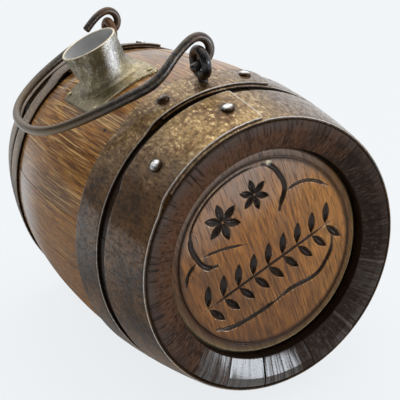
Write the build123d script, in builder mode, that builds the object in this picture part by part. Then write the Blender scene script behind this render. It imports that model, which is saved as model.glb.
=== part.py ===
from build123d import *
import os
from math import asin, cos, degrees, radians, sin, sqrt

# Small coopered keg lying on its bilge. Millimetres. The keg axis runs along Y, the carved head
# faces -Y, +Z points to the two eyes of the bail, and the origin is the middle of the worn flat
# under the bilge, so the ground is z = 0.

# Barrel
HALF_LENGTH = 79.0
R_END = 47.1
R_BILGE = 57.3
FLAT_DEPTH = 0.75
AXIS_Z = R_BILGE - FLAT_DEPTH
STAVE_BILGE_T = 8.0
CHIME_ROUND = 0.8
CHIME_LAND = 2.4
R_CHIME_INNER = 37.3
CHIME_DROP = 2.9
R_CROZE_WALL = 38.0
CROZE_START = 8.3
CROZE_WIDTH = 3.6
CROZE_DEPTH = 2.6
R_INNER_END = 38.8
INNER_END = 17.4

# Joints between the staves, in degrees from +Z towards +X. The first stave carries the bung hole.
STAVE_JOINTS = (
    -33.5, -4.5, 13.5, 32.0, 51.0, 71.0, 91.0, 112.5, 129.0, 145.0,
    169.0, 194.7, 214.4, 233.0, 252.0, 271.0, 289.5, 308.0, 326.5,
)

# Heads
HEAD_RECESS = 6.5
HEAD_THICKNESS = 10.5
HEAD_EDGE_T = 3.4
HEAD_EDGE_GAP = 0.1
HEAD_WALL_GAP = 0.4
R_HEAD_FIELD = 33.0
HEAD_GROOVE_W = 1.2
HEAD_GROOVE_D = 0.8
R_HEAD_BEAD = 36.2

# Hoops: a narrow iron strip whose ends lap and are held by two rivets
HOOP_T = 1.15
CHIME_HOOP = (57.0, 78.5)
QUARTER_HOOP = (37.8, 52.5)
LAP_HALF = 24.0
RAMP_ARC = 8.0
CHIME_LAP_ANGLE = -21.0
QUARTER_LAP_ANGLE = 0.0
RIVET_HALF = 16.5
RIVET_HEAD_R = 2.3
RIVET_HEAD_H = 1.5
RIVET_SHANK_R = 1.2
RIVET_DOME_R = (RIVET_HEAD_R**2 + RIVET_HEAD_H**2) / (2 * RIVET_HEAD_H)

# Eyes and bail
EYE_Y = 45.15
EYE_WIRE_R = 1.8
EYE_RING_R = 4.4
EYE_SINK = 9.0
FRONT_EYE_ANGLE = 0.0
REAR_EYE_ANGLE = 2.4
HINGE_HEIGHT = 10.6
BAIL_WIRE_R = 1.65
HOOK_R = 4.4
REST_ANGLE = 111.0
FRONT_TIP = 5.5
REAR_TIP = (10.4, 2.2)
LEG_BLEND = 22.0

# Points of the loop at which one bend of the wire ends and the next begins
LOOP_BENDS = (0, 2, 5, 8, 12, 16, 19, 21, 23)
# Shape of the bail seen square on: distance from the hinge line, and place along it
BAIL_CURVE = (
    (3.0, -45.15), (8.0, -45.3), (14.0, -46.0), (20.0, -45.6), (26.0, -43.2), (33.0, -39.4), (40.0, -35.0),
    (46.0, -30.7), (51.0, -25.8), (55.0, -19.4), (57.8, -10.3), (58.8, 0.0), (58.0, 10.8),
    (55.6, 19.4), (52.0, 26.2), (47.0, 31.9), (41.0, 36.4), (34.0, 39.8), (26.0, 42.0),
    (18.0, 43.5), (10.0, 44.7), (3.0, 45.15),
)

# Spout and its saddle plate
SPOUT_ANGLE = -18.2
SPOUT_Y = -0.5
SPOUT_WALL = 0.8
SPOUT_BASE_R = 9.9
SPOUT_RIM_R = 10.95
SPOUT_HEIGHT = 15.7
SPOUT_STRAIGHT = 4.0
SPOUT_FIT = 0.05
PLATE_T = 0.9
PLATE_START = -34.6
PLATE_END = -3.6
PLATE_FRONT = -18.5
PLATE_REAR = 15.5
NAIL_ANGLES = (-31.6, -6.6)
NAIL_PLACES = (-15.6, 12.6)
NAIL_HEAD_R = 1.3
NAIL_HEAD_H = 0.6
NAIL_SHANK_R = 0.6
NAIL_LENGTH = 6.0

AXIS_POINT = Vector(0, 0, AXIS_Z)
KEG_AXIS = Axis((0, 0, AXIS_Z), (0, 1, 0))
SAGITTA = R_BILGE - R_END
BOW_R = (HALF_LENGTH**2 + SAGITTA**2) / (2 * SAGITTA)
FULL_TURN = 360.0


def bow(y):
    """Outside radius of the staves at a place along the axis."""
    return R_BILGE - BOW_R + sqrt(BOW_R**2 - y**2)


def radial(angle):
    """Unit vector out from the keg axis at an angle from +Z towards +X."""
    return Vector(sin(radians(angle)), 0, cos(radians(angle)))


def along(angle):
    """Unit vector round the keg at an angle, the way the angle grows."""
    return Vector(cos(radians(angle)), 0, -sin(radians(angle)))


def section_plane(angle):
    """Plane through the keg axis: local x is the radius, local y runs along the axis."""
    return Plane(origin=AXIS_POINT, x_dir=radial(angle), z_dir=-along(angle))


def surface_plane(angle, y, lift):
    """Plane on the outside of the keg, lifted off the staves along their own normal."""
    slope = degrees(asin(y / BOW_R))
    normal = radial(angle) * cos(radians(slope)) + Vector(0, 1, 0) * sin(radians(slope))
    foot = AXIS_POINT + radial(angle) * bow(y) + Vector(0, y, 0)
    return Plane(origin=foot + normal * lift, x_dir=along(angle), z_dir=normal)


def spout_plane(lift):
    """Plane square to the spout, lifted from the bilge along the spout."""
    foot = AXIS_POINT + radial(SPOUT_ANGLE) * (R_BILGE + lift) + Vector(0, SPOUT_Y, 0)
    return Plane(origin=foot, x_dir=along(SPOUT_ANGLE), z_dir=radial(SPOUT_ANGLE))


def hinge_point(angle, y):
    """Middle of an eye's top wire, which is where the bail turns."""
    return AXIS_POINT + radial(angle) * (bow(y) + 2 * HOOP_T + HINGE_HEIGHT) + Vector(0, y, 0)


os.makedirs("parts", exist_ok=True)

# Staves: the wall's outline is turned through each stave's own angle. The outline runs from the
# front chime over the bow to the rear chime, then back along the croze, the inside and the croze.
chime_y = HALF_LENGTH - CHIME_DROP
croze_y = HALF_LENGTH - CROZE_START
groove_y = croze_y - CROZE_WIDTH
inner_y = HALF_LENGTH - INNER_END
for number, start in enumerate(STAVE_JOINTS[:-1], 1):
    end = STAVE_JOINTS[number]
    with BuildPart() as stave:
        with BuildSketch(section_plane(start)):
            with BuildLine():
                ThreePointArc(
                    (bow(HALF_LENGTH - CHIME_ROUND), CHIME_ROUND - HALF_LENGTH),
                    (R_BILGE, 0),
                    (bow(HALF_LENGTH - CHIME_ROUND), HALF_LENGTH - CHIME_ROUND),
                )
                Polyline(
                    (bow(HALF_LENGTH - CHIME_ROUND), HALF_LENGTH - CHIME_ROUND),
                    (R_END - CHIME_ROUND, HALF_LENGTH),
                    (R_END - CHIME_ROUND - CHIME_LAND, HALF_LENGTH),
                    (R_CHIME_INNER, chime_y),
                    (R_CROZE_WALL, croze_y),
                    (R_CROZE_WALL + CROZE_DEPTH, croze_y),
                    (R_CROZE_WALL + CROZE_DEPTH, groove_y),
                    (R_INNER_END, groove_y),
                    (R_INNER_END, inner_y),
                )
                ThreePointArc(
                    (R_INNER_END, inner_y),
                    (R_BILGE - STAVE_BILGE_T, 0),
                    (R_INNER_END, -inner_y),
                )
                Polyline(
                    (R_INNER_END, -inner_y),
                    (R_INNER_END, -groove_y),
                    (R_CROZE_WALL + CROZE_DEPTH, -groove_y),
                    (R_CROZE_WALL + CROZE_DEPTH, -croze_y),
                    (R_CROZE_WALL, -croze_y),
                    (R_CHIME_INNER, -chime_y),
                    (R_END - CHIME_ROUND - CHIME_LAND, -HALF_LENGTH),
                    (R_END - CHIME_ROUND, -HALF_LENGTH),
                    (bow(HALF_LENGTH - CHIME_ROUND), CHIME_ROUND - HALF_LENGTH),
                )
            make_face()
        revolve(axis=KEG_AXIS, revolution_arc=end - start)
        # The flat that the keg has worn under its bilge
        with BuildSketch(Plane.XY):
            Rectangle(2 * R_BILGE, 2 * HALF_LENGTH)
        extrude(amount=-R_BILGE, mode=Mode.SUBTRACT)
        # The bung hole and the nails of the saddle plate
        if start < SPOUT_ANGLE < end:
            with BuildSketch(spout_plane(PLATE_T)):
                Circle(SPOUT_BASE_R + SPOUT_FIT)
            extrude(amount=-2 * STAVE_BILGE_T, mode=Mode.SUBTRACT)
            for angle in NAIL_ANGLES:
                for place in NAIL_PLACES:
                    with BuildSketch(surface_plane(angle, place, PLATE_T)):
                        Circle(NAIL_SHANK_R)
                    extrude(amount=-NAIL_LENGTH, mode=Mode.SUBTRACT)
        # The holes of the two eyes
        for angle, place in ((FRONT_EYE_ANGLE, -EYE_Y), (REAR_EYE_ANGLE, EYE_Y)):
            if start < angle < end:
                top = AXIS_POINT + radial(angle) * (bow(EYE_Y) + 2 * HOOP_T) + Vector(0, place, 0)
                with BuildSketch(Plane(origin=top, x_dir=along(angle), z_dir=radial(angle))):
                    Circle(EYE_WIRE_R)
                extrude(amount=-EYE_SINK, mode=Mode.SUBTRACT)
    stave.part.label = f"stave_{number:02d}"
    export_step(stave.part, f"parts/stave_{number:02d}.step")

# Heads: a turned disc with a bead and a groove, its thin edge held in the croze
for name, side in (("front_head", -1), ("rear_head", 1)):
    face_y = HALF_LENGTH - HEAD_RECESS
    edge_y = croze_y - HEAD_EDGE_GAP
    back_y = face_y - HEAD_THICKNESS
    rim_r = R_CROZE_WALL + CROZE_DEPTH - HEAD_EDGE_GAP
    neck_r = R_CROZE_WALL - HEAD_WALL_GAP
    with BuildPart() as head:
        with BuildSketch(section_plane(0)):
            with BuildLine():
                Polyline(
                    (0, side * face_y),
                    (R_HEAD_FIELD, side * face_y),
                    (R_HEAD_FIELD + HEAD_GROOVE_W / 2, side * (face_y - HEAD_GROOVE_D)),
                    (R_HEAD_FIELD + HEAD_GROOVE_W, side * face_y),
                    (R_HEAD_BEAD, side * face_y),
                    (neck_r, side * edge_y),
                    (rim_r, side * edge_y),
                    (rim_r, side * (edge_y - HEAD_EDGE_T)),
                    (neck_r, side * (edge_y - HEAD_EDGE_T)),
                    (R_HEAD_BEAD, side * back_y),
                    (0, side * back_y),
                    close=True,
                )
            make_face()
        revolve(axis=KEG_AXIS, revolution_arc=FULL_TURN)
    head.part.label = name
    export_step(head.part, f"parts/{name}.step")

# Hoops: one strip each, a full turn with its end lapped over the start. The lap climbs from the
# first layer over a short ramp, and its free end is the step at the side of +X.
HOOPS = (
    ("front_chime_hoop", -1, CHIME_HOOP, CHIME_LAP_ANGLE),
    ("front_quarter_hoop", -1, QUARTER_HOOP, QUARTER_LAP_ANGLE),
    ("rear_quarter_hoop", 1, QUARTER_HOOP, QUARTER_LAP_ANGLE),
    ("rear_chime_hoop", 1, CHIME_HOOP, CHIME_LAP_ANGLE),
)
for name, side, (near, far), lap in HOOPS:
    middle = (near + far) / 2
    layers = (
        (0, HOOP_T, lap, FULL_TURN),
        (HOOP_T, 2 * HOOP_T, lap - LAP_HALF, 2 * LAP_HALF),
    )
    ramp = (
        (lap - LAP_HALF - RAMP_ARC, HOOP_T / 2, HOOP_T),
        (lap - LAP_HALF, HOOP_T / 2, 2 * HOOP_T),
    )
    with BuildPart() as hoop:
        for low, high, start, turn in layers:
            with BuildSketch(section_plane(start)):
                with BuildLine():
                    ThreePointArc(
                        (bow(near) + low, side * near),
                        (bow(middle) + low, side * middle),
                        (bow(far) + low, side * far),
                    )
                    Line((bow(far) + low, side * far), (bow(far) + high, side * far))
                    ThreePointArc(
                        (bow(far) + high, side * far),
                        (bow(middle) + high, side * middle),
                        (bow(near) + high, side * near),
                    )
                    Line((bow(near) + high, side * near), (bow(near) + low, side * near))
                make_face()
            revolve(axis=KEG_AXIS, revolution_arc=turn)
        for angle, low, high in ramp:
            with BuildSketch(section_plane(angle)):
                with BuildLine():
                    ThreePointArc(
                        (bow(near) + low, side * near),
                        (bow(middle) + low, side * middle),
                        (bow(far) + low, side * far),
                    )
                    Line((bow(far) + low, side * far), (bow(far) + high, side * far))
                    ThreePointArc(
                        (bow(far) + high, side * far),
                        (bow(middle) + high, side * middle),
                        (bow(near) + high, side * near),
                    )
                    Line((bow(near) + high, side * near), (bow(near) + low, side * near))
                make_face()
        loft()
        for angle in (lap - RIVET_HALF, lap + RIVET_HALF):
            with BuildSketch(surface_plane(angle, side * middle, 3 * HOOP_T)):
                Circle(RIVET_SHANK_R)
            extrude(amount=-4 * HOOP_T, mode=Mode.SUBTRACT)
        for angle, place in ((FRONT_EYE_ANGLE, -EYE_Y), (REAR_EYE_ANGLE, EYE_Y)):
            if side * near < place < side * far or side * far < place < side * near:
                top = AXIS_POINT + radial(angle) * (bow(EYE_Y) + 3 * HOOP_T) + Vector(0, place, 0)
                with BuildSketch(Plane(origin=top, x_dir=along(angle), z_dir=radial(angle))):
                    Circle(EYE_WIRE_R)
                extrude(amount=-EYE_SINK, mode=Mode.SUBTRACT)
    hoop.part.label = name
    export_step(hoop.part, f"parts/{name}.step")

# Rivets of the laps: eight alike, each with a domed head and a shank through both layers
with BuildPart() as hoop_rivets:
    for name, side, (near, far), lap in HOOPS:
        for angle in (lap - RIVET_HALF, lap + RIVET_HALF):
            seat = surface_plane(angle, side * (near + far) / 2, 2 * HOOP_T)
            with BuildSketch(Plane(origin=seat.origin, x_dir=seat.x_dir, z_dir=-seat.y_dir)):
                with BuildLine():
                    Line((0, -2 * HOOP_T), (RIVET_SHANK_R, -2 * HOOP_T))
                    Line((RIVET_SHANK_R, -2 * HOOP_T), (RIVET_SHANK_R, 0))
                    Line((RIVET_SHANK_R, 0), (RIVET_HEAD_R, 0))
                    RadiusArc((RIVET_HEAD_R, 0), (0, RIVET_HEAD_H), -RIVET_DOME_R)
                    Line((0, RIVET_HEAD_H), (0, -2 * HOOP_T))
                make_face()
            revolve(axis=Axis(seat.origin, seat.z_dir), revolution_arc=FULL_TURN)
hoop_rivets.part.label = "hoop_rivets"
export_step(hoop_rivets.part, "parts/hoop_rivets.step")

# Eyes: a wire ring standing along the keg, with a shank through the lapped hoop into the stave
for name, angle, place in (
    ("front_eye", FRONT_EYE_ANGLE, -EYE_Y),
    ("rear_eye", REAR_EYE_ANGLE, EYE_Y),
):
    ring_centre = hinge_point(angle, place) - radial(angle) * EYE_RING_R
    shank_top = ring_centre - radial(angle) * EYE_RING_R
    with BuildPart() as eye:
        with Locations(Plane(origin=ring_centre, x_dir=radial(angle), z_dir=along(angle)).location):
            Torus(EYE_RING_R, EYE_WIRE_R)
        with BuildSketch(Plane(origin=shank_top, x_dir=along(angle), z_dir=radial(angle))):
            Circle(EYE_WIRE_R)
        extrude(amount=-EYE_SINK)
    eye.part.label = name
    export_step(eye.part, f"parts/{name}.step")

# Bail: one bent wire. Seen from the front, the front hook comes over its eye and turns back
# through it. The rear hook comes through its eye and turns back over it.
front_hinge = hinge_point(FRONT_EYE_ANGLE, -EYE_Y)
rear_hinge = hinge_point(REAR_EYE_ANGLE, EYE_Y)
hinge_middle = (front_hinge + rear_hinge) * 0.5
hinge_dir = (rear_hinge - front_hinge).normalized()
rest_dir = Vector(-sin(radians(REST_ANGLE)), 0, cos(radians(REST_ANGLE)))
reach_dir = (rest_dir - hinge_dir * rest_dir.dot(hinge_dir)).normalized()
lift_dir = hinge_dir.cross(reach_dir)


def bail_point(reach, place, lift):
    """Point of the bail from its reach off the hinge, its place along it and its lift."""
    return hinge_middle + reach_dir * reach + hinge_dir * place + lift_dir * lift


def leg_lift(reach):
    """Share of the hook's offset that is left in a leg at a distance from the hinge."""
    share = max(0.0, 1 - reach / LEG_BLEND)
    return HOOK_R * share * share * (3 - 2 * share)


loop = [bail_point(0, -EYE_Y, HOOK_R)]
for reach, place in BAIL_CURVE:
    loop.append(bail_point(reach, place, -leg_lift(reach) if place > 0 else leg_lift(reach)))
loop.append(bail_point(0, EYE_Y, -HOOK_R))
ways = [reach_dir]
for before, after in zip(loop, loop[2:]):
    ways.append((after - before).normalized())
ways.append(-reach_dir)
with BuildPart() as bail:
    with BuildLine() as wire:
        Line(bail_point(FRONT_TIP, -EYE_Y, -HOOK_R), bail_point(0, -EYE_Y, -HOOK_R))
        ThreePointArc(
            bail_point(0, -EYE_Y, -HOOK_R), bail_point(-HOOK_R, -EYE_Y, 0), bail_point(0, -EYE_Y, HOOK_R)
        )
        for first, last in zip(LOOP_BENDS, LOOP_BENDS[1:]):
            Spline(*loop[first : last + 1], tangents=(ways[first], ways[last]))
        ThreePointArc(
            bail_point(0, EYE_Y, -HOOK_R), bail_point(-HOOK_R, EYE_Y, 0), bail_point(0, EYE_Y, HOOK_R)
        )
        TangentArc(
            bail_point(0, EYE_Y, HOOK_R), bail_point(REAR_TIP[0], EYE_Y, REAR_TIP[1]), tangent=reach_dir
        )
    with BuildSketch(Plane(origin=wire.wire() @ 0, z_dir=wire.wire() % 0)):
        Circle(BAIL_WIRE_R)
    sweep(path=wire.wire())
bail.part.label = "bail"
export_step(bail.part, "parts/bail.step")

# Spout: a sheet-metal tube through the plate and the bung hole, a little wider at its mouth
with BuildPart() as spout:
    mouth = spout_plane(0)
    with BuildSketch(Plane(origin=mouth.origin, x_dir=mouth.x_dir, z_dir=-mouth.y_dir)):
        with BuildLine():
            Polyline(
                (SPOUT_BASE_R - SPOUT_WALL, -STAVE_BILGE_T),
                (SPOUT_BASE_R, -STAVE_BILGE_T),
                (SPOUT_BASE_R, SPOUT_STRAIGHT),
                (SPOUT_RIM_R, SPOUT_HEIGHT),
                (SPOUT_RIM_R - SPOUT_WALL, SPOUT_HEIGHT),
                (SPOUT_BASE_R - SPOUT_WALL, SPOUT_STRAIGHT),
                close=True,
            )
        make_face()
    revolve(axis=Axis(mouth.origin, mouth.z_dir), revolution_arc=FULL_TURN)
spout.part.label = "spout"
export_step(spout.part, "parts/spout.step")

# Saddle plate: a sheet bent over the bilge, with the spout through it and a nail at each corner
with BuildPart() as saddle_plate:
    with BuildSketch(section_plane(PLATE_START)):
        with BuildLine():
            plate_middle = (PLATE_FRONT + PLATE_REAR) / 2
            ThreePointArc(
                (bow(PLATE_FRONT), PLATE_FRONT),
                (bow(plate_middle), plate_middle),
                (bow(PLATE_REAR), PLATE_REAR),
            )
            Line((bow(PLATE_REAR), PLATE_REAR), (bow(PLATE_REAR) + PLATE_T, PLATE_REAR))
            ThreePointArc(
                (bow(PLATE_REAR) + PLATE_T, PLATE_REAR),
                (bow(plate_middle) + PLATE_T, plate_middle),
                (bow(PLATE_FRONT) + PLATE_T, PLATE_FRONT),
            )
            Line((bow(PLATE_FRONT) + PLATE_T, PLATE_FRONT), (bow(PLATE_FRONT), PLATE_FRONT))
        make_face()
    revolve(axis=KEG_AXIS, revolution_arc=PLATE_END - PLATE_START)
    with BuildSketch(spout_plane(2 * PLATE_T)):
        Circle(SPOUT_BASE_R + SPOUT_FIT)
    extrude(amount=-STAVE_BILGE_T, mode=Mode.SUBTRACT)
    for angle in NAIL_ANGLES:
        for place in NAIL_PLACES:
            with BuildSketch(surface_plane(angle, place, 2 * PLATE_T)):
                Circle(NAIL_SHANK_R)
            extrude(amount=-NAIL_LENGTH, mode=Mode.SUBTRACT)
saddle_plate.part.label = "saddle_plate"
export_step(saddle_plate.part, "parts/saddle_plate.step")

# Nails of the saddle plate: four alike, flat heads on the plate and shanks in the stave
with BuildPart() as plate_nails:
    for angle in NAIL_ANGLES:
        for place in NAIL_PLACES:
            with BuildSketch(surface_plane(angle, place, PLATE_T)):
                Circle(NAIL_HEAD_R)
            extrude(amount=NAIL_HEAD_H)
            with BuildSketch(surface_plane(angle, place, PLATE_T)):
                Circle(NAIL_SHANK_R)
            extrude(amount=-NAIL_LENGTH)
plate_nails.part.label = "plate_nails"
export_step(plate_nails.part, "parts/plate_nails.step")
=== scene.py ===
"""Looks of a small hand-coopered keg: varnished staves, carved head, iron hoops, wire bail and tin spout.

Lengths are in millimetres and become metres where a mesh is made. Angles are in degrees from +Z towards
+X. The keg's axis runs along Y at the height AXIS_Z, the carved head faces -Y, and the ground is z = 0.
"""

import math

import bmesh
import bpy
import numpy as np
from mathutils import Matrix, Vector


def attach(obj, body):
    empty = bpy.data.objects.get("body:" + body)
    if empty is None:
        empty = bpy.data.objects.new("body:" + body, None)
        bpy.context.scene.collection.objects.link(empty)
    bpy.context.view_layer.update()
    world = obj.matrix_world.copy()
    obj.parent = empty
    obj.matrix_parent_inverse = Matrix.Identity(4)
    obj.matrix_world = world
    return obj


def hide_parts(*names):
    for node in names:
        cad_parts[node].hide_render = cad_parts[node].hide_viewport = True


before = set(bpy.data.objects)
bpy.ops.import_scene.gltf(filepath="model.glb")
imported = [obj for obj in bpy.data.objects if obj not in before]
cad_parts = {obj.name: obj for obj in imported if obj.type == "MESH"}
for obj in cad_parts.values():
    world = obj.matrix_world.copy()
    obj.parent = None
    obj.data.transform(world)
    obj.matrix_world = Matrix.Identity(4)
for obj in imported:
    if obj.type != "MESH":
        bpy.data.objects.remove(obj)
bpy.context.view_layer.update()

bl_info = {
    "name": "Coopered Keg",
    "version": (1, 0, 0),
    "blender": (4, 5, 0),
    "location": "3D View > Sidebar > Keg",
    "description": "Dresses the frame of a small coopered keg with its wood, iron and tin",
    "category": "Object",
}

MM = 0.001
KEG = "keg"
BAIL = "bail"
ALONG = np.array([0.0, 1.0, 0.0])

# Barrel
HALF_LENGTH = 79.0
R_END = 47.1
R_BILGE = 57.3
AXIS_Z = 56.55
STAVE_BILGE_T = 8.0
CHIME_LAND = 2.4
CHIME_ROUND = 0.8
R_CHIME_INNER = 37.3
CHIME_DROP = 2.9
R_CROZE_WALL = 38.0
CROZE_START = 8.3
CROZE_WIDTH = 3.6
CROZE_DEPTH = 2.6
R_INNER_END = 38.8
INNER_END = 17.4
SAGITTA = R_BILGE - R_END
BOW_R = (HALF_LENGTH**2 + SAGITTA**2) / (2 * SAGITTA)

# Joints between the staves. The first stave carries the bung hole.
STAVE_JOINTS = (
    -33.5, -4.5, 13.5, 32.0, 51.0, 71.0, 91.0, 112.5, 129.0, 145.0,
    169.0, 194.7, 214.4, 233.0, 252.0, 271.0, 289.5, 308.0, 326.5,
)
PALE_JOINTS = (112.5, 145.0)
OPEN_JOINT = 194.7
OPEN_GAP = 0.22
SEAM_FADE = 0.16
VARNISHED = (170.0, 238.0)
SHEEN = {169.0: 1.0, 194.7: 1.4, 214.4: 0.9}
WORM_HOLE = (-36.5, -29.8)
BORE_SIDES = 64

# Heads
HEAD_RECESS = 6.5
HEAD_THICKNESS = 10.5
HEAD_EDGE_T = 3.4
HEAD_EDGE_GAP = 0.1
HEAD_WALL_GAP = 0.4
R_HEAD_FIELD = 33.0
R_HEAD_FLAT = R_HEAD_FIELD - 0.6
HEAD_GROOVE_W = 1.2
HEAD_GROOVE_D = 0.8
R_HEAD_BEAD = 36.2

# Hoops: reach of each pair along the axis, and the angle at the middle of its lap
HOOP_T = 1.15
CHIME_HOOP = (57.0, 78.5)
QUARTER_HOOP = (37.8, 52.5)
LAP_HALF = 24.0
RAMP_ARC = 8.0
CHIME_LAP_ANGLE = -21.0
QUARTER_LAP_ANGLE = 0.0
RIVET_HALF = 16.5
RIVET_HEAD_R = 2.3
RIVET_HEAD_H = 1.5
RIVET_SHINE = 0.35
DOME_SINK = 0.3
DULL_RIVET = (-1, QUARTER_LAP_ANGLE - RIVET_HALF)

# Each hoop's name, side, reach, lap, corner radius at the lap's end, seed and gold (level, middle, spread),
# which is partly painted highlight
HOOPS = (
    ("front_chime_hoop", -1, CHIME_HOOP, CHIME_LAP_ANGLE, 0.8, 21, (1.0, -10.0, 27.0)),
    ("front_quarter_hoop", -1, QUARTER_HOOP, QUARTER_LAP_ANGLE, 3.0, 22, (0.75, -14.0, 40.0)),
    ("rear_quarter_hoop", 1, QUARTER_HOOP, QUARTER_LAP_ANGLE, 3.0, 23, (0.45, -50.0, 40.0)),
    ("rear_chime_hoop", 1, CHIME_HOOP, CHIME_LAP_ANGLE, 0.8, 24, (0.45, -50.0, 40.0)),
)

# Eyes and bail
EYE_Y = 45.15
EYE_WIRE_R = 1.8
EYE_RING_R = 4.4
EYE_SINK = 9.0
EYE_STEPS = 56
EYE_SIDES = 18
FRONT_EYE_ANGLE = 0.0
REAR_EYE_ANGLE = 2.4
HINGE_HEIGHT = 10.6
BAIL_WIRE_R = 1.65
BAIL_STEPS = 420
BAIL_SIDES = 22
BAIL_BLUNT = 0.55
ARM_SWELL = 0.13
HOOK_R = 4.4
REST_ANGLE = 111.0
FRONT_TIP = 5.5
REAR_TIP = (10.4, 2.2)
LEG_BLEND = 22.0
BAIL_CURVE = (
    (3.0, -45.15), (8.0, -45.3), (14.0, -46.0), (20.0, -45.6), (26.0, -43.2), (33.0, -39.4), (40.0, -35.0),
    (46.0, -30.7), (51.0, -25.8), (55.0, -19.4), (57.8, -10.3), (58.8, 0.0), (58.0, 10.8),
    (55.6, 19.4), (52.0, 26.2), (47.0, 31.9), (41.0, 36.4), (34.0, 39.8), (26.0, 42.0),
    (18.0, 43.5), (10.0, 44.7), (3.0, 45.15),
)

# Spout and saddle plate
SPOUT_ANGLE = -18.2
SPOUT_Y = -0.5
SPOUT_WALL = 0.8
SPOUT_BASE_R = 9.9
SPOUT_RIM_R = 10.95
SPOUT_HEIGHT = 15.7
SPOUT_STRAIGHT = 4.0
SPOUT_FOOT = SPOUT_STRAIGHT + 1.5
SPOUT_LIP = 0.3
SPOUT_SIDES = 96
PLATE_T = 0.9
PLATE_START = -34.6
PLATE_END = -3.6
PLATE_FRONT = -18.5
PLATE_REAR = 15.5
PLATE_SIDES = 160
PLATE_SQUARENESS = 14.0
NAIL_ANGLES = (-31.6, -6.6)
NAIL_PLACES = (-15.6, 12.6)
NAIL_HEAD_R = 1.3
NAIL_HEAD_H = 0.6

# Carving of the front head, in its own plane: right and up from the middle, turned with the cut design
CARVING_TURN = -10.0
CARTOUCHE = (
    (1.35, ((-18.3, 5.7), (-21.8, 7.0), (-24.0, 11.6), (-24.6, 16.5), (-23.2, 21.0))),
    (0.75, ((-24.3, 13.5), (-24.6, 16.5), (-23.2, 21.0), (-19.8, 24.8), (-16.5, 27.2), (-9.4, 30.4),
            (-3.4, 31.6), (3.3, 31.6), (8.6, 30.4))),
    (1.4, ((8.2, 30.6), (11.3, 28.5), (13.4, 23.9), (13.9, 19.2), (11.6, 15.4), (9.3, 12.2))),
    (0.9, ((13.4, 17.4), (16.6, 17.8), (21.7, 17.2), (25.3, 15.2), (29.5, 11.1))),
    (1.2, ((-26.5, -16.3), (-22.0, -18.5), (-16.0, -19.4), (-8.5, -19.4), (-1.5, -18.9))),
    (1.2, ((-2.5, -19.0), (4.9, -18.0), (10.3, -18.5), (16.0, -18.3), (20.6, -15.6), (24.0, -12.1),
           (25.6, -8.0))),
    (0.8, ((-22.0, 11.4), (-14.9, 10.2), (-6.6, 7.4))),
    (1.0, ((-25.2, 10.5), (-28.6, 8.4), (-31.0, 4.6))),
)
ROSETTES = ((-11.3, 19.0, 7.2), (2.4, 22.1, 6.0))
PETALS = 6
SPRIG_START = (-30.6, -7.7)
SPRIG_END = (26.8, -2.3)
SPRIG_LEAVES = 9
STEM_CUT = 0.7
LEAF_LENGTH = 4.1
LEAF_WIDTH = 1.6
LEAF_LEAN = 64.0
HEAD_NICK = (11.0, 30.2)

# Camera and lamps, in metres in the keg's frame
CAMERA_PLACE = (-0.11762, -0.29243, 0.18625)
CAMERA_TARGET = (-0.00666, -0.03980, 0.06850)
CAMERA_ROLL = -10.14
CAMERA_LENS = 74.13
FLOOR_RADIUS = 9.0
FLOOR_SIDES = 64
SKY_FROM = (0.55, 0.35, 0.75)
SKY_COLOUR = (0.97, 0.985, 1.0, 1.0)
KEY_FROM = (0.15, 0.35, 1.0)
KEY_SPREAD = 70.0
KEY_COLOUR = (1.0, 0.97, 0.92)
WINDOW_FROM = (0.56, -0.81, 0.13)
WINDOW_SIZE = (0.62, 0.28)
WINDOW_COLOUR = (0.86, 0.92, 1.0)
SHEET_TOP = (0.08, 0.14)


def length_property(name, description, millimetres):
    """A small length that the panel shows."""
    return bpy.props.FloatProperty(
        name=name, description=description, default=millimetres * MM, min=0.0,
        subtype="DISTANCE", unit="LENGTH",
    )


def colour_property(name, description, value):
    """A linear colour that the panel shows."""
    return bpy.props.FloatVectorProperty(
        name=name, description=description, default=value, subtype="COLOR", size=3, min=0.0, max=1.0
    )


def level_property(name, description, value, subtype="NONE", **limits):
    """A level of the light that the panel shows."""
    return bpy.props.FloatProperty(
        name=name, description=description, default=value, min=0.0, subtype=subtype, **limits
    )


class KegSizes(bpy.types.PropertyGroup):
    """Small sizes of the finish that the frame doesn't fix."""

    arris: length_property("Stave arris", "How far the edges of the staves are rounded", 0.16)
    joint_gap: length_property("Joint gap", "Opening left at each side of a stave's joint", 0.02)
    gouge_width: length_property(
        "Gouge width", "Half width of the line cut round the design on the head", 0.85
    )
    gouge_depth: length_property("Gouge depth", "Depth of the line cut round the design on the head", 0.8)
    chip_depth: length_property("Chip depth", "Depth of the chip-cut petals and leaves", 1.5)
    hoop_edge: length_property("Hoop edge", "Rounding of the hoop strip's edges", 0.38)
    solder: length_property(
        "Solder foot", "Width of the solder that spreads from the spout over its plate", 3.2
    )


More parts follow.
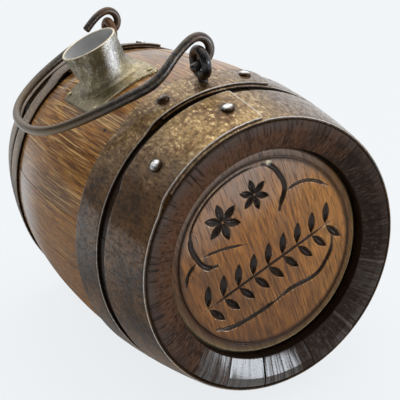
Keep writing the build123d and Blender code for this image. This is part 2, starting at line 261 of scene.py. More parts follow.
class KegColours(bpy.types.PropertyGroup):
    """Linear colours of the finishes."""

    stave: colour_property("Stave", "Varnished face of the staves", (0.590, 0.265, 0.052))
    stave_dark: colour_property("Stave dark", "Dark grain of the staves", (0.085, 0.036, 0.014))
    stave_red: colour_property(
        "Stave red", "Warm shade between the staves' paler fibres", (0.340, 0.125, 0.027)
    )
    # Pale grain, also laid as painted highlights on the staves' raised grain and along the edges of the
    # head's cuts
    pale_grain_and_glint: colour_property("Stave pale", "Raised pale grain of the staves", (0.850, 0.520, 0.190))
    end_grain: colour_property("End grain", "Chime ends of the staves", (0.030, 0.017, 0.011))
    end_red: colour_property("End grain red", "Warm patches on the chime ends", (0.093, 0.038, 0.017))
    end_land: colour_property("Chime land", "Greyer rim of the chime ends", (0.085, 0.066, 0.056))
    joint: colour_property("Joint", "Pale filling in a few joints of the chime", (0.200, 0.160, 0.125))
    head: colour_property("Head", "Varnished face of the heads", (0.410, 0.152, 0.026))
    head_dark: colour_property("Head dark", "Dark grain of the heads", (0.090, 0.034, 0.010))
    dust: colour_property("Dust", "Tan dust along the foot of the head", (0.750, 0.600, 0.350))
    # Painted reflection, laid as a grey sheen over the top of the head
    painted_top_sheen: colour_property("Veil", "Greyed varnish at the top of the head", (0.345, 0.245, 0.188))
    # Near black: the carving's cuts, and painted shade in the gaps and recesses of staves, heads and hoops
    cut: colour_property("Cut", "Old varnish in the bottom of the carving", (0.010, 0.006, 0.004))
    # Gold of the hoops, partly yellowed varnish and partly painted highlight
    hoop: colour_property("Hoop", "Yellowed varnish on the hoops", (0.440, 0.280, 0.110))
    # Painted sparkle over the hoops' gold
    painted_gilt_sparkle: colour_property("Gilt", "Bright specks in the yellowed varnish", (0.860, 0.660, 0.330))
    hoop_brown: colour_property("Hoop brown", "Brown iron on the hoops' sides", (0.190, 0.088, 0.028))
    hoop_dark: colour_property("Hoop dark", "Darkest iron on the hoops", (0.042, 0.023, 0.011))
    # Pale iron: specks on the eyes and bail, and the painted highlight on the rivets' crowns
    bright: colour_property("Bright iron", "Iron rubbed bright", (0.480, 0.440, 0.385))
    # Pale, laid on the hoops' edges as a painted highlight
    edge: colour_property("Hoop edge", "Edges of the hoops, rubbed pale", (0.680, 0.650, 0.600))
    iron: colour_property("Iron", "Black iron of the eyes", (0.024, 0.023, 0.026))
    wire: colour_property("Wire", "Handled iron of the bail", (0.095, 0.070, 0.046))
    rust_brown: colour_property("Rust brown", "Handled brown of the bail's loop", (0.180, 0.122, 0.058))
    rust: colour_property("Rust", "Rust in the hooks and eyes", (0.150, 0.062, 0.022))
    tin: colour_property("Tin", "Dull tin of the spout", (0.380, 0.345, 0.220))
    plate: colour_property("Plate", "Yellowed tin of the saddle plate", (0.740, 0.610, 0.360))
    tarnish: colour_property("Tarnish", "Green-brown tarnish on the tin", (0.120, 0.096, 0.046))
    # Clean grey tin, also laid as painted highlights on the spout and on the rivets' crowns
    pale_tin_and_highlight: colour_property("Lining", "Clean grey tin inside the spout", (0.900, 0.905, 0.910))
    # Rubbed tin, also laid as a painted highlight on the plate
    rim: colour_property("Rim", "Tin rubbed pale on the spout's rim", (0.800, 0.700, 0.520))


class KegStage(bpy.types.PropertyGroup):
    """Levels of the studio light."""

    floor: colour_property("Floor", "Pale floor", (0.900, 0.930, 0.950))
    sky: level_property("Sky", "Level of the soft light overhead", 1.2)
    wall: level_property("Wall", "Level of the darkest wall, at the front left", 0.08)
    sheet: level_property("Sheet", "Level of the pale sheet that stands up behind", 0.85, "FACTOR")
    key: level_property("Key", "Strength of the soft key light", 0.45)
    even: level_property("Even floor", "Share of the floor that shows no shadow", 0.88, "FACTOR", max=1.0)
    window: level_property("Window", "Power of the low window at the front right", 4.4, "POWER")


def size(name):
    """One of the panel's sizes, in millimetres."""
    return getattr(bpy.context.scene.keg_sizes, name) / MM


def colour(name):
    """One of the panel's colours, with an alpha of one."""
    return (*getattr(bpy.context.scene.keg_colours, name), 1.0)


class Value:
    """A shader socket that takes part in Python arithmetic: each operation adds a Math node."""

    def __init__(self, shader, socket):
        self.shader = shader
        self.socket = socket

    def calculate(self, operation, *terms):
        """A Math node over the given terms."""
        return self.shader.node("ShaderNodeMath", {"operation": operation}, dict(enumerate(terms)))

    def __add__(self, other):
        return self.calculate("ADD", self, other)

    def __radd__(self, other):
        return self.calculate("ADD", other, self)

    def __sub__(self, other):
        return self.calculate("SUBTRACT", self, other)

    def __rsub__(self, other):
        return self.calculate("SUBTRACT", other, self)

    def __mul__(self, other):
        return self.calculate("MULTIPLY", self, other)

    def __rmul__(self, other):
        return self.calculate("MULTIPLY", other, self)

    def size(self):
        """The value without its sign."""
        return self.calculate("ABSOLUTE", self)

    def larger(self, other):
        """The larger of two values."""
        return self.calculate("MAXIMUM", self, other)

    def step(self, low, high):
        """Zero below low, one above high, and a smooth curve between."""
        ends = {0: self, 1: low, 2: high, 3: 0.0, 4: 1.0}
        return self.shader.node("ShaderNodeMapRange", {"interpolation_type": "SMOOTHSTEP"}, ends)


class Shader:
    """Builds the nodes of a material or of the world."""

    def __init__(self, owner):
        self.owner = owner
        owner.use_nodes = True
        self.tree = owner.node_tree
        self.tree.nodes.clear()

    def node(self, kind, settings=None, inputs=None, output=0):
        """Any node: its settings first, then values or links for its sockets. Gives one of its outputs."""
        made = self.tree.nodes.new(kind)
        for key, value in (settings or {}).items():
            setattr(made, key, value)
        for key, value in (inputs or {}).items():
            if isinstance(value, Value):
                self.tree.links.new(value.socket, made.inputs[key])
            else:
                made.inputs[key].default_value = value
        return Value(self, made.outputs[output]) if made.outputs else None

    def number(self, name):
        """A number stored on the piece's points."""
        return self.node("ShaderNodeAttribute", {"attribute_name": name}, output=2)

    def places(self, name):
        """A vector stored on the piece's points."""
        return self.node("ShaderNodeAttribute", {"attribute_name": name}, output=1)

    def millimetres(self):
        """Object coordinates in millimetres."""
        here = self.node("ShaderNodeTexCoord", output=3)
        return self.scaled(here, (1 / MM, 1 / MM, 1 / MM))

    def scaled(self, vector, factors):
        """A vector stretched along its three axes."""
        return self.node("ShaderNodeVectorMath", {"operation": "MULTIPLY"}, {0: vector, 1: factors})

    def shifted(self, vector, amount, offset):
        """A vector moved along an offset by an amount."""
        step = self.node("ShaderNodeVectorMath", {"operation": "SCALE"}, {0: offset, "Scale": amount})
        return self.node("ShaderNodeVectorMath", {"operation": "ADD"}, {0: vector, 1: step})

    def axis(self, vector, index):
        """One component of a vector."""
        return self.node("ShaderNodeSeparateXYZ", inputs={0: vector}, output=index)

    def noise(self, vector, scale, detail, roughness, distortion=0.0, stretch=None):
        """Noise from zero to one, its features about one over scale in size. The vector may be stretched."""
        if stretch:
            vector = self.scaled(vector, stretch)
        return self.node("ShaderNodeTexNoise", inputs={
            "Vector": vector, "Scale": scale, "Detail": detail, "Roughness": roughness,
            "Distortion": distortion,
        })

    def mix(self, share, first, second):
        """The first colour where share is zero and the second where it is one."""
        return self.node("ShaderNodeMix", {"data_type": "RGBA"}, {0: share, 6: first, 7: second}, output=2)

    def layers(self, base, *coats):
        """A colour, given or by its name, under coats of (share, colour's name) laid in order."""
        if isinstance(base, str):
            base = colour(base)
        for share, name in coats:
            base = self.mix(share, base, colour(name))
        return base

    def bump(self, height, distance, strength=1.0):
        """A normal bent by a height whose unit is distance millimetres."""
        levels = {"Strength": strength, "Distance": distance * MM, "Height": height}
        return self.node("ShaderNodeBump", inputs=levels)

    def finish(self, **inputs):
        """Ends the material in a Principled shader with these sockets, where _ stands for a space."""
        sockets = {key.replace("_", " "): value for key, value in inputs.items()}
        surface = self.node("ShaderNodeBsdfPrincipled", {}, sockets)
        self.node("ShaderNodeOutputMaterial", {}, {0: surface})
        return self.owner


def stave_finish():
    """Oak under old varnish. Fibres run along the axis, and the chime ends show darker end grain."""
    s = Shader(bpy.data.materials.new("stave_wood"))
    plank = s.number("plank")
    end = s.number("end")
    seam = s.number("seam")
    warm = s.number("warm")
    place = s.places("grain")
    here = s.millimetres()
    grain = s.shifted(place, plank, (137.0, 291.0, 53.0))
    along = s.axis(place, 1)
    depth = s.axis(place, 2)
    high = s.axis(here, 2)
    lit = high.step(25.0, 80.0)
    # Painted light: the grain shows more contrast and more pale highlights towards the top
    stave_top_light = high.step(50.0, 100.0)
    fibre = s.noise(grain, 0.6, 4.0, 0.6, 0.3, stretch=(1.0, 0.05, 1.0))
    fleck = s.noise(grain, 2.0, 2.0, 0.6, stretch=(1.0, 0.14, 1.0))
    thread = s.noise(grain, 1.75, 2.0, 0.5, stretch=(1.0, 0.016, 1.0))
    hair = s.noise(grain, 2.6, 1.0, 0.5, stretch=(1.0, 0.03, 1.0))
    patchy = s.noise(grain, 1.0, 2.0, 0.5, stretch=(0.14, 0.04, 0.14))
    cloud = s.noise(grain, 1.0, 3.0, 0.55, stretch=(0.07, 0.022, 0.07))
    ridge = thread.step(0.56, 0.60)
    furrow = thread.step(0.46, 0.54) * (1.0 - ridge)
    stripe = 0.5 + (fibre.step(0.36, 0.62) - 0.5) * (0.45 + 0.55 * stave_top_light)
    # Painted shade: darker low down and in a thin painted shadow beside each hoop edge, also darker towards
    # the ends and by a random amount for each stave
    shade = plank * 0.15 + 0.5 - 0.5 * high.step(15.0, 88.0)
    for edge in (*CHIME_HOOP, *QUARTER_HOOP):
        shade = shade.larger(1.0 - (along.size() - edge).size().step(0.3, 2.0))
    shade = shade.larger(along.size().step(76.8, 78.4))
    # Painted shadow: near black in the gap between the quarter hoop and the chime hoop
    gap = (CHIME_HOOP[0] + QUARTER_HOOP[1]) / 2
    painted_gap_shadow = 1.0 - (along.size() - gap).size().step(2.4, 3.6)
    worm = tuple(around(bow(WORM_HOLE[1]), *WORM_HOLE))
    hole = s.node("ShaderNodeVectorMath", {"operation": "DISTANCE"}, {0: here, 1: worm}, output=1)
    face = s.layers(
        "stave_red",
        (stripe, "stave"),
        ((patchy * 0.6 + cloud * 0.4).step(0.46, 0.58) * stave_top_light * 0.7, "stave_red"),
        (fleck.step(0.50, 0.64) * (0.5 - 0.25 * stave_top_light), "stave_dark"),
        (cloud.step(0.50, 0.72) * 0.5, "stave_dark"),
        (furrow * (0.25 + 0.5 * stave_top_light), "stave_dark"),
        ((1.0 - hair.step(0.34, 0.44)) * 0.6, "stave_dark"),
        # Painted highlights: pale streaks along the raised grain, strongest high up
        (ridge * patchy.step(0.34, 0.54) * (0.12 + 0.8 * stave_top_light), "pale_grain_and_glint"),
        (hair.step(0.58, 0.68) * stave_top_light * 0.5, "pale_grain_and_glint"),
        # Painted shade, laid in the end grain's dark colour
        (shade * 0.9, "end_grain"),
        # Painted shade: near black in that gap and on the staves' inner faces, the walls of the recess
        (painted_gap_shadow.larger(depth.step(1.5, 4.0)) * 0.95, "cut"),
        # Painted shade: the worm hole is a near-black spot, with no hole in the mesh
        (1.0 - hole.step(0.5, 1.1), "cut"),
    )
    ray = s.noise(grain, 1.1, 4.0, 0.62, stretch=(1.0, 1.0, 0.10))
    brush = s.noise(grain, 0.9, 2.0, 0.5, stretch=(1.0, 0.06, 0.06))
    dots = s.noise(grain, 2.4, 2.0, 0.5).step(0.58, 0.70)
    patch = s.noise(grain, 1.0, 3.0, 0.5, stretch=(0.14, 0.14, 0.14))
    cut_end = s.layers(
        "end_grain",
        ((patch * 0.6 + ray * 0.5 + warm * 0.2).step(0.44, 0.80), "end_red"),
        (ray.step(0.52, 0.66) * 0.6, "end_land"),
        (s.number("land") * warm.step(-0.2, 0.8) * 0.7, "end_land"),
        ((1.0 - ray.step(0.36, 0.47)).larger(dots) * 0.65, "cut"),
    )
    base = s.layers(
        s.mix(end, face, cut_end),
        (seam.step(0.1, 0.8) * 0.8, "joint"),
        ((0.0 - seam).step(0.1, 0.9), "cut"),
    )
    height = ridge * 0.35 + thread * 0.5 + hair * 0.3 + fibre * 0.3 - fleck * 0.3
    end_height = ray + brush * 0.9 - dots * 0.5
    height = height + end * (end_height - height)
    sheen = (1.0 - s.axis(here, 0).step(-57.0, -42.0)) * along.step(-5.0, 30.0) * 0.9
    coat = (0.1 + 0.18 * cloud + 0.5 * high.step(98.0, 113.0) + sheen) * lit * (1.0 - end)
    brushed = s.number("varnish") * (0.5 + 0.6 * brush.step(0.25, 0.70) - 0.35 * dots)
    low_right = 0.45 * end * (0.0 - warm).step(0.82, 1.0) * brush.step(0.3, 0.65)
    return s.finish(
        Base_Color=base,
        Roughness=0.55 + 0.2 * s.noise(grain, 0.35, 3.0, 0.6) - 0.12 * lit - 0.08 * end,
        Specular_IOR_Level=0.06,
        Coat_Weight=coat + brushed.step(0.3, 1.1) + low_right,
        Coat_Roughness=0.16,
        Coat_IOR=1.75,
        Normal=s.bump(height, 0.24, 0.9),
    )


def head_finish():
    """Oak with fibres up the design, near black in the cuts, painted shade round the rim and to the lower
    left, painted light to the right, and a painted grey sheen on top.
    """
    s = Shader(bpy.data.materials.new("head_wood"))
    grain = s.places("grain")
    right = s.axis(grain, 0)
    up = s.axis(grain, 1)
    carve = s.number("carve")
    fibre = s.noise(grain, 0.75, 4.0, 0.62, 0.4, stretch=(1.0, 0.07, 1.0))
    thread = s.noise(grain, 2.0, 2.0, 0.55, stretch=(1.0, 0.045, 1.0))
    pore = s.noise(grain, 2.0, 2.0, 0.55, stretch=(1.0, 0.065, 1.0)).step(0.56, 0.61)
    cloud = s.noise(grain, 1.0, 3.0, 0.55, stretch=(0.07, 0.05, 0.07))
    # Painted reflection: a grey sheen over the top of the head
    painted_top_sheen = (up * 0.03 + cloud - 0.5).step(0.25, 0.95)
    # Painted shade: darker towards the lower left
    painted_shade_low_left = (0.42 - 0.014 * up - 0.012 * right).step(0.0, 1.0)
    inside = carve.step(0.05, 0.4)
    # Painted highlights: pale lines along the edges of the cuts
    painted_cut_glint = carve.step(0.0, 0.05) * (1.0 - carve.step(0.06, 0.15)) * thread.step(0.48, 0.58)
    base = s.layers(
        "head_dark",
        ((fibre * 0.6 + thread * 0.4).step(0.33, 0.62), "head"),
        (thread.step(0.58, 0.70) * 0.2, "pale_grain_and_glint"),
        (cloud.step(0.48, 0.72) * 0.5, "head_dark"),
        (painted_shade_low_left * 0.5, "head_dark"),
        # Painted light: lighter towards the right
        (right.step(2.0, 30.0) * 0.22, "stave"),
        (painted_top_sheen * 0.8, "painted_top_sheen"),
        (pore * 0.55, "stave_dark"),
        # Near black in the cuts, and painted shade in the groove round the field and down towards the croze
        (s.number("rim").larger(inside) * 0.95, "cut"),
        (s.number("bead") * (0.4 + 0.8 * fibre), "dust"),
        (s.number("nick"), "rim"),
        (painted_cut_glint * 0.45, "pale_grain_and_glint"),
    )
    height = (thread * 0.6 + fibre * 0.8 - pore * 0.6) * (1.0 - 0.6 * inside)
    return s.finish(
        Base_Color=base,
        Roughness=0.40 + 0.2 * s.noise(grain, 0.3, 3.0, 0.6) - 0.22 * inside,
        Specular_IOR_Level=0.25,
        Coat_Weight=0.08 + 0.2 * cloud + 0.7 * painted_cut_glint,
        Coat_Roughness=0.16,
        Normal=s.bump(height, 0.28),
    )


def hoop_finish():
    """Iron strip under yellowed varnish: gold over the laps and brown elsewhere. The gold is partly painted
    highlight, the top edges carry a painted highlight and the edge faces painted shade.
    """
    s = Shader(bpy.data.materials.new("hoop_iron"))
    here = s.millimetres()
    high = s.axis(here, 2)
    cloud = s.noise(here, 0.075, 4.0, 0.6)
    mottle = s.noise(here, 0.55, 4.0, 0.66)
    streak = s.noise(s.places("grain"), 0.9, 3.0, 0.6, stretch=(1.0, 0.4, 1.0))
    speck = s.noise(here, 1.3, 3.0, 0.66)
    skin = streak * 0.4 + speck * 0.25 + mottle * 0.35
    # The gold is partly yellowed varnish and partly painted highlight, centred near the top of each hoop
    gold = (s.number("gold_and_highlight") + cloud * 0.9 - 0.45 + mottle * 0.6 - 0.3).step(0.1, 0.9)
    # Painted light: the brown is lighter and greyer towards the top
    hoop_top_light = high.step(60.0, 120.0)
    # Painted highlight: pale lines on the strips' top edges and at the lap ends
    rubbed = (s.number("worn") + speck * 0.5 - 0.25).step(0.40, 0.85) * (0.75 + 0.2 * gold)
    base = s.layers(
        "hoop_dark",
        ((mottle * 0.5 + cloud * 0.5 + hoop_top_light * 0.15).step(0.42, 0.60), "hoop_brown"),
        (hoop_top_light * 0.3, "end_land"),
        (gold, "hoop"),
        (cloud.step(0.46, 0.58) * gold * 0.75, "hoop_brown"),
        (skin.step(0.45, 0.60) * (0.85 - 0.2 * gold), "hoop_dark"),
        # Painted highlights: bright sparkle over the gold
        ((1.0 - skin.step(0.38, 0.47)) * gold, "painted_gilt_sparkle"),
        # Grime round the rivets, and painted shade on the strips' edge faces
        (s.number("dirt_and_edge_shade") * 0.85, "cut"),
        (rubbed, "edge"),
    )
    front = 1.0 - 0.75 * s.axis(here, 1).step(-20.0, 20.0)
    gloss = (0.84 - 0.55 * gold) * front * high.step(52.0, 78.0)
    return s.finish(
        Base_Color=base,
        Roughness=0.38 + 0.15 * mottle - 0.14 * gold,
        Metallic=(0.6 * rubbed).larger(0.2 + 0.6 * gold),
        Specular_IOR_Level=0.08,
        Coat_Weight=gloss * (0.5 + 0.7 * (1.0 - skin.step(0.42, 0.58))),
        Coat_Roughness=0.12,
        Normal=s.bump(mottle * 0.5 + streak * 0.3 + speck * 0.35, 0.7),
    )


def rivet_finish():
    """Hammered iron heads with a painted highlight on the crown, leaning to one side, and dark at the foot.
    """
    s = Shader(bpy.data.materials.new("rivet_iron"))
    crown = s.number("worn")
    mottle = s.noise(s.millimetres(), 1.1, 3.0, 0.6)
    base = s.layers(
        "hoop_dark",
        ((crown + mottle * 0.6 - 0.3).step(0.1, 0.6), "bright"),
        ((crown + mottle * 0.3 - 0.15).step(0.36, 0.62), "pale_tin_and_highlight"),
        (mottle.step(0.5, 0.75) * 0.35, "wire"),
    )
    return s.finish(
        Base_Color=base, Roughness=0.12 + 0.15 * mottle, Metallic=0.95, Normal=s.bump(mottle, 0.4)
    )


def iron_finish():
    """Black forged iron of the eyes, with rust where the bail rubs and rain stays."""
    s = Shader(bpy.data.materials.new("wrought_iron"))
    here = s.millimetres()
    mottle = s.noise(here, 0.7, 4.0, 0.6)
    pits = s.noise(here, 2.2, 3.0, 0.6)
    rust = (s.number("rusty") + mottle - 0.5).step(0.25, 0.75)
    return s.finish(
        Base_Color=s.layers("iron", (rust, "rust"), (pits.step(0.56, 0.74) * 0.3, "bright")),
        Roughness=0.22 + 0.3 * rust + 0.1 * pits,
        Metallic=1.0 - 0.7 * rust,
        Coat_Weight=0.5 - 0.4 * rust,
        Coat_Roughness=0.1,
        Normal=s.bump(mottle * 0.6 + pits * 0.4, 0.35),
    )


def wire_finish():
    """Dark drawn iron of the bail, olive-brown where it is handled, rusty in the hooks."""
    s = Shader(bpy.data.materials.new("bail_iron"))
    here = s.millimetres()
    handled = s.number("handled")
    mottle = s.noise(here, 0.8, 4.0, 0.62)
    pits = s.noise(here, 2.4, 3.0, 0.6)
    rust = (s.number("rusty") * 0.9 + mottle - 0.5).step(0.4, 0.85) * 0.8
    base = s.layers(
        "wire",
        (mottle.step(0.40, 0.60), "iron"),
        ((handled + mottle - 0.5).step(0.45, 1.2) * 0.75, "rust_brown"),
        (pits.step(0.58, 0.72) * 0.35, "bright"),
        (rust, "rust"),
    )
    return s.finish(
        Base_Color=base,
        Roughness=0.24 + 0.15 * pits + 0.2 * rust,
        Metallic=0.8 - 0.6 * rust,
        Coat_Weight=(0.6 - 0.5 * rust - 0.4 * handled).larger(0.05),
        Coat_Roughness=0.14,
        Normal=s.bump(mottle * 0.5 + pits * 0.5, 0.3),
    )


def tin_finish():
    """Dull tinned sheet, blotched olive and grey, pale inside, rubbed on the rim and golden on the plate,
    with painted highlights and painted shade on the tube and plate.
    """
    s = Shader(bpy.data.materials.new("spout_tin"))
    here = s.millimetres()
    inner = s.number("inner")
    outside = 1.0 - inner
    gold = s.number("gold")
    cloud = s.noise(here, 0.16, 4.0, 0.6)
    mottle = s.noise(here, 0.9, 4.0, 0.68)
    speck = s.noise(here, 2.6, 3.0, 0.66)
    streak = s.noise(here, 0.5, 4.0, 0.65, stretch=(1.0, 1.0, 0.3))
    dull = (cloud * 0.35 + mottle * 0.3 + streak * 0.35).step(0.40, 0.58)
    # Painted light runs up the tube at set distances across it: a pale painted highlight with painted shade
    # beside it in darker tarnish. On the plate a painted highlight runs up the right, and the left carries
    # darker stains.
    across = s.axis(here, 0) - 0.45 * s.axis(here, 1)
    left = 1.0 - across.step(-32.0, -15.0)
    beside = (1.0 - (across + 19.5).size().step(1.0, 7.0)).larger(across.step(-11.5, -8.5))
    stain_and_painted_shade = beside + gold * (left - beside)
    painted_highlight_band = (1.0 - (across + 13.6).size().step(0.6, 3.6)) * outside * (1.0 - gold)
    painted_plate_glint = (1.0 - (across + 11.5).size().step(1.0, 4.0)) * gold * streak.step(0.46, 0.60)
    # Painted shade: darker inside towards the top of the tube
    painted_mouth_shade = (s.axis(here, 2) + 4.0 * cloud).step(118.0, 129.0)
    base = s.layers(
        "tin",
        (cloud.step(0.42, 0.58) * 0.45, "pale_tin_and_highlight"),
        (gold * 0.9, "plate"),
        (dull * (0.95 - 0.75 * inner) * (1.0 - 0.35 * gold), "tarnish"),
        (stain_and_painted_shade * (0.35 + 0.9 * streak) * 0.85 * outside, "tarnish"),
        (painted_highlight_band * (0.5 + 0.5 * streak.step(0.40, 0.60)), "pale_tin_and_highlight"),
        (painted_plate_glint * 0.6, "rim"),
        (speck.step(0.50, 0.62) * (0.7 - 0.6 * inner), "hoop_dark"),
        (inner * 0.85, "pale_tin_and_highlight"),
        (inner * painted_mouth_shade * 0.22, "iron"),
        ((s.number("worn") + speck * 0.3 - 0.15).step(0.4, 0.85), "rim"),
    )
    return s.finish(
        Base_Color=base,
        Roughness=0.18 + 0.16 * dull + 0.1 * speck + 0.15 * inner,
        Metallic=0.85 - 0.6 * inner,
        Normal=s.bump(mottle * 0.5 + speck * 0.5, 0.26),
    )


def nail_finish():
    """Small nails, yellowed like their plate and blotched with tarnish."""
    s = Shader(bpy.data.materials.new("nail_iron"))
    mottle = s.noise(s.millimetres(), 1.4, 3.0, 0.6)
    return s.finish(
        Base_Color=s.layers("plate", (mottle.step(0.35, 0.7), "tarnish")),
        Roughness=0.35 + 0.2 * mottle,
        Metallic=0.9,
        Normal=s.bump(mottle, 0.15, 0.8),
    )


def floor_finish():
    """Pale matt paper. Seen directly, in metal or through glass, part of it is an even white."""
    s = Shader(bpy.data.materials.new("floor_paper"))
    stage = bpy.context.scene.keg_stage
    pale = (*stage.floor, 1.0)
    paper = s.node("ShaderNodeBsdfDiffuse", {}, {"Color": pale})
    even = s.node("ShaderNodeEmission", {}, {"Color": pale})
    seen = s.node("ShaderNodeLightPath", output="Is Camera Ray")
    for ray in ("Is Glossy Ray", "Is Transmission Ray"):
        seen = seen.larger(s.node("ShaderNodeLightPath", output=ray))
    both = s.node("ShaderNodeMixShader", {}, {0: seen * stage.even, 1: paper, 2: even})
    s.node("ShaderNodeOutputMaterial", {}, {0: both})
    return s.owner


def bow(y):
    """Outside radius of the staves: an arc of radius BOW_R through the bilge and both ends."""
    return R_BILGE - BOW_R + np.sqrt(BOW_R**2 - np.square(y))


def turns(count):
    """Even steps round a full turn, in radians."""
    return np.linspace(0, 2 * np.pi, count, endpoint=False)


def unit(vector):
    """Vectors brought to a length of one."""
    return vector / np.linalg.norm(vector, axis=-1, keepdims=True)


def smooth(share):
    """The smooth curve 3 s^2 - 2 s^3 from zero to one."""
    return share * share * (3 - 2 * share)


def vectors(x, y, z):
    """Points from three arrays of coordinates, spread to one shape."""
    return np.stack(np.broadcast_arrays(x, y, z), axis=-1)


def around(radius, angle, y):
    """Points at a radius from the keg's axis, an angle and a place along the axis."""
    a = np.radians(angle)
    return vectors(radius * np.sin(a), y, AXIS_Z + radius * np.cos(a))


def radial(angle):
    """Unit vector out from the keg's axis at an angle."""
    a = math.radians(angle)
    return np.array([math.sin(a), 0.0, math.cos(a)])


def onward(angle):
    """Unit vector round the keg at an angle, the way the angle grows."""
    a = math.radians(angle)
    return np.array([math.cos(a), 0.0, -math.sin(a)])


def seat(angle, y, lift):
    """Origin and three axes (round, along, out) of a place on the staves, lifted along their normal."""
    slope = math.asin(y / BOW_R)
    out = radial(angle) * math.cos(slope) + ALONG * math.sin(slope)
    side = onward(angle)
    origin = around(bow(y), angle, y) + out * lift
    return origin, side, np.cross(out, side), out


def ripple(u, v, draws, waves=5, longest=1.0):
    """Smooth unevenness from -1 to 1: the mean of a few sine waves with seeded directions and phases."""
    turn = draws.uniform(0, 2 * np.pi, waves)
    phase = draws.uniform(0, 2 * np.pi, waves)
    pace = 2 * np.pi / longest * draws.uniform(0.7, 2.4, waves)
    total = 0.0
    for t, p, w in zip(turn, phase, pace):
        total = total + np.sin(w * (np.cos(t) * u + np.sin(t) * v) + p)
    return total / waves


def rounded(corners, steps=4):
    """Open line through (x, y, radius) corners, each inner one replaced by an arc tangent to its sides."""
    c = np.array(corners, float)
    here, radius = c[1:-1, :2], c[1:-1, 2]
    back = unit(c[:-2, :2] - here)
    on = unit(c[2:, :2] - here)
    half = np.arccos(np.clip((back * on).sum(1), -1, 1)) / 2
    centre = here + unit(back + on) * (radius / np.sin(half))[:, None]
    reach = (radius / np.tan(half))[:, None]
    first = here + back * reach - centre
    last = here + on * reach - centre
    sweep = (np.pi - 2 * half)[:, None, None]
    t = np.linspace(0, 1, steps + 1)[None, :, None]
    arc = (np.sin((1 - t) * sweep) * first[:, None] + np.sin(t * sweep) * last[:, None]) / np.sin(sweep)
    return np.vstack([c[:1, :2], (centre[:, None] + arc).reshape(-1, 2), c[-1:, :2]])


def path_lengths(points):
    """Length of a line of points from its start up to each of them, as the sum of the chords."""
    return np.concatenate([[0], np.cumsum(np.linalg.norm(np.diff(points, axis=0), axis=1))])


def smooth_line(points, count):
    """Even steps on a natural cubic spline through the given points, with chord lengths as its parameter."""
    p = np.array(points, float)
    t = path_lengths(p)
    h = np.diff(t)
    n = len(p)
    a = np.zeros((n, n))
    a[0, 0] = a[-1, -1] = 1
    inner = np.arange(1, n - 1)
    a[inner, inner - 1] = h[:-1]
    a[inner, inner] = 2 * (h[:-1] + h[1:])
    a[inner, inner + 1] = h[1:]
    slope = np.diff(p, axis=0) / h[:, None]
    b = np.zeros_like(p)
    b[1:-1] = 6 * np.diff(slope, axis=0)
    m = np.linalg.solve(a, b)
    x = np.linspace(0, t[-1], count)
    k = np.clip(np.searchsorted(t, x, side="right") - 1, 0, n - 2)
    left = (x - t[k])[:, None]
    right = (t[k + 1] - x)[:, None]
    w = h[k][:, None]
    return (
        (m[k] * right**3 + m[k + 1] * left**3) / (6 * w)
        + (p[k] / w - m[k] * w / 6) * right
        + (p[k + 1] / w - m[k + 1] * w / 6) * left
    )


def grid_faces(rows, columns, wrap_rows=False):
    """Quads over a grid of points that is joined round its columns, and round its rows where they wrap."""
    index = np.arange(rows * columns).reshape(rows, columns)
    if wrap_rows:
        index = np.vstack([index, index[:1]])
    index = np.hstack([index, index[:, :1]])
    quads = np.stack([index[:-1, :-1], index[:-1, 1:], index[1:, 1:], index[1:, :-1]], -1)
    return quads.reshape(-1, 4).tolist()


def capped_faces(rows, columns):
    """Quads over a grid, with a flat cap on its first and its last row."""
    caps = [list(range(columns)), list(range((rows - 1) * columns, rows * columns))]
    return grid_faces(rows, columns) + caps


def pole_faces(ring, pole):
    """Triangles from a closed ring of points to one pole."""
    return np.stack([ring, np.roll(ring, -1), np.full(len(ring), pole)], -1).tolist()


def new_mesh(name, points, faces):
    """A mesh from points in millimetres, with its faces turned outward."""
    mesh = bpy.data.meshes.new(name)
    mesh.from_pydata((points.reshape(-1, 3) * MM).tolist(), [], faces)
    work = bmesh.new()
    work.from_mesh(mesh)
    bmesh.ops.recalc_face_normals(work, faces=work.faces)
    work.to_mesh(mesh)
    work.free()
    return mesh


def link(name, data):
    """An object that holds the data, put in the scene."""
    thing = bpy.data.objects.new(name, data)
    bpy.context.scene.collection.objects.link(thing)
    return thing


def add_piece(name, shape, finish, body, nodes, sharp=38.0):
    """One closed piece in the keg's frame, from its points, its faces and the numbers for its finish.

    It gets its body, slot and the nodes it stands for. Numbers may be given by point, row or column.
    """
    points, faces, values = shape
    mesh = new_mesh(name, points, faces)
    for key, value in values.items():
        if key == "grain":
            store = mesh.attributes.new(key, "FLOAT_VECTOR", "POINT")
            store.data.foreach_set("vector", value.astype(np.float32).ravel())
        else:
            store = mesh.attributes.new(key, "FLOAT", "POINT")
            spread = np.broadcast_to(value, points.shape[:-1])
            store.data.foreach_set("value", spread.astype(np.float32).ravel())
    mesh.shade_smooth()
    mesh.set_sharp_from_angle(angle=math.radians(sharp))
    mesh.materials.append(finish)
    piece = link(name, mesh)
    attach(piece, body)
    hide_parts(*nodes)
    return piece


def merge(parts):
    """Joins (points, faces, values) of several shapes into one."""
    points, faces, values, count = [], [], {}, 0
    for p, f, v in parts:
        points.append(p.reshape(-1, 3))
        faces += [[i + count for i in face] for face in f]
        for key, value in v.items():
            values.setdefault(key, []).append(np.broadcast_to(value, p.shape[:-1]).ravel())
        count += len(points[-1])
    return np.vstack(points), faces, {key: np.concatenate(value) for key, value in values.items()}


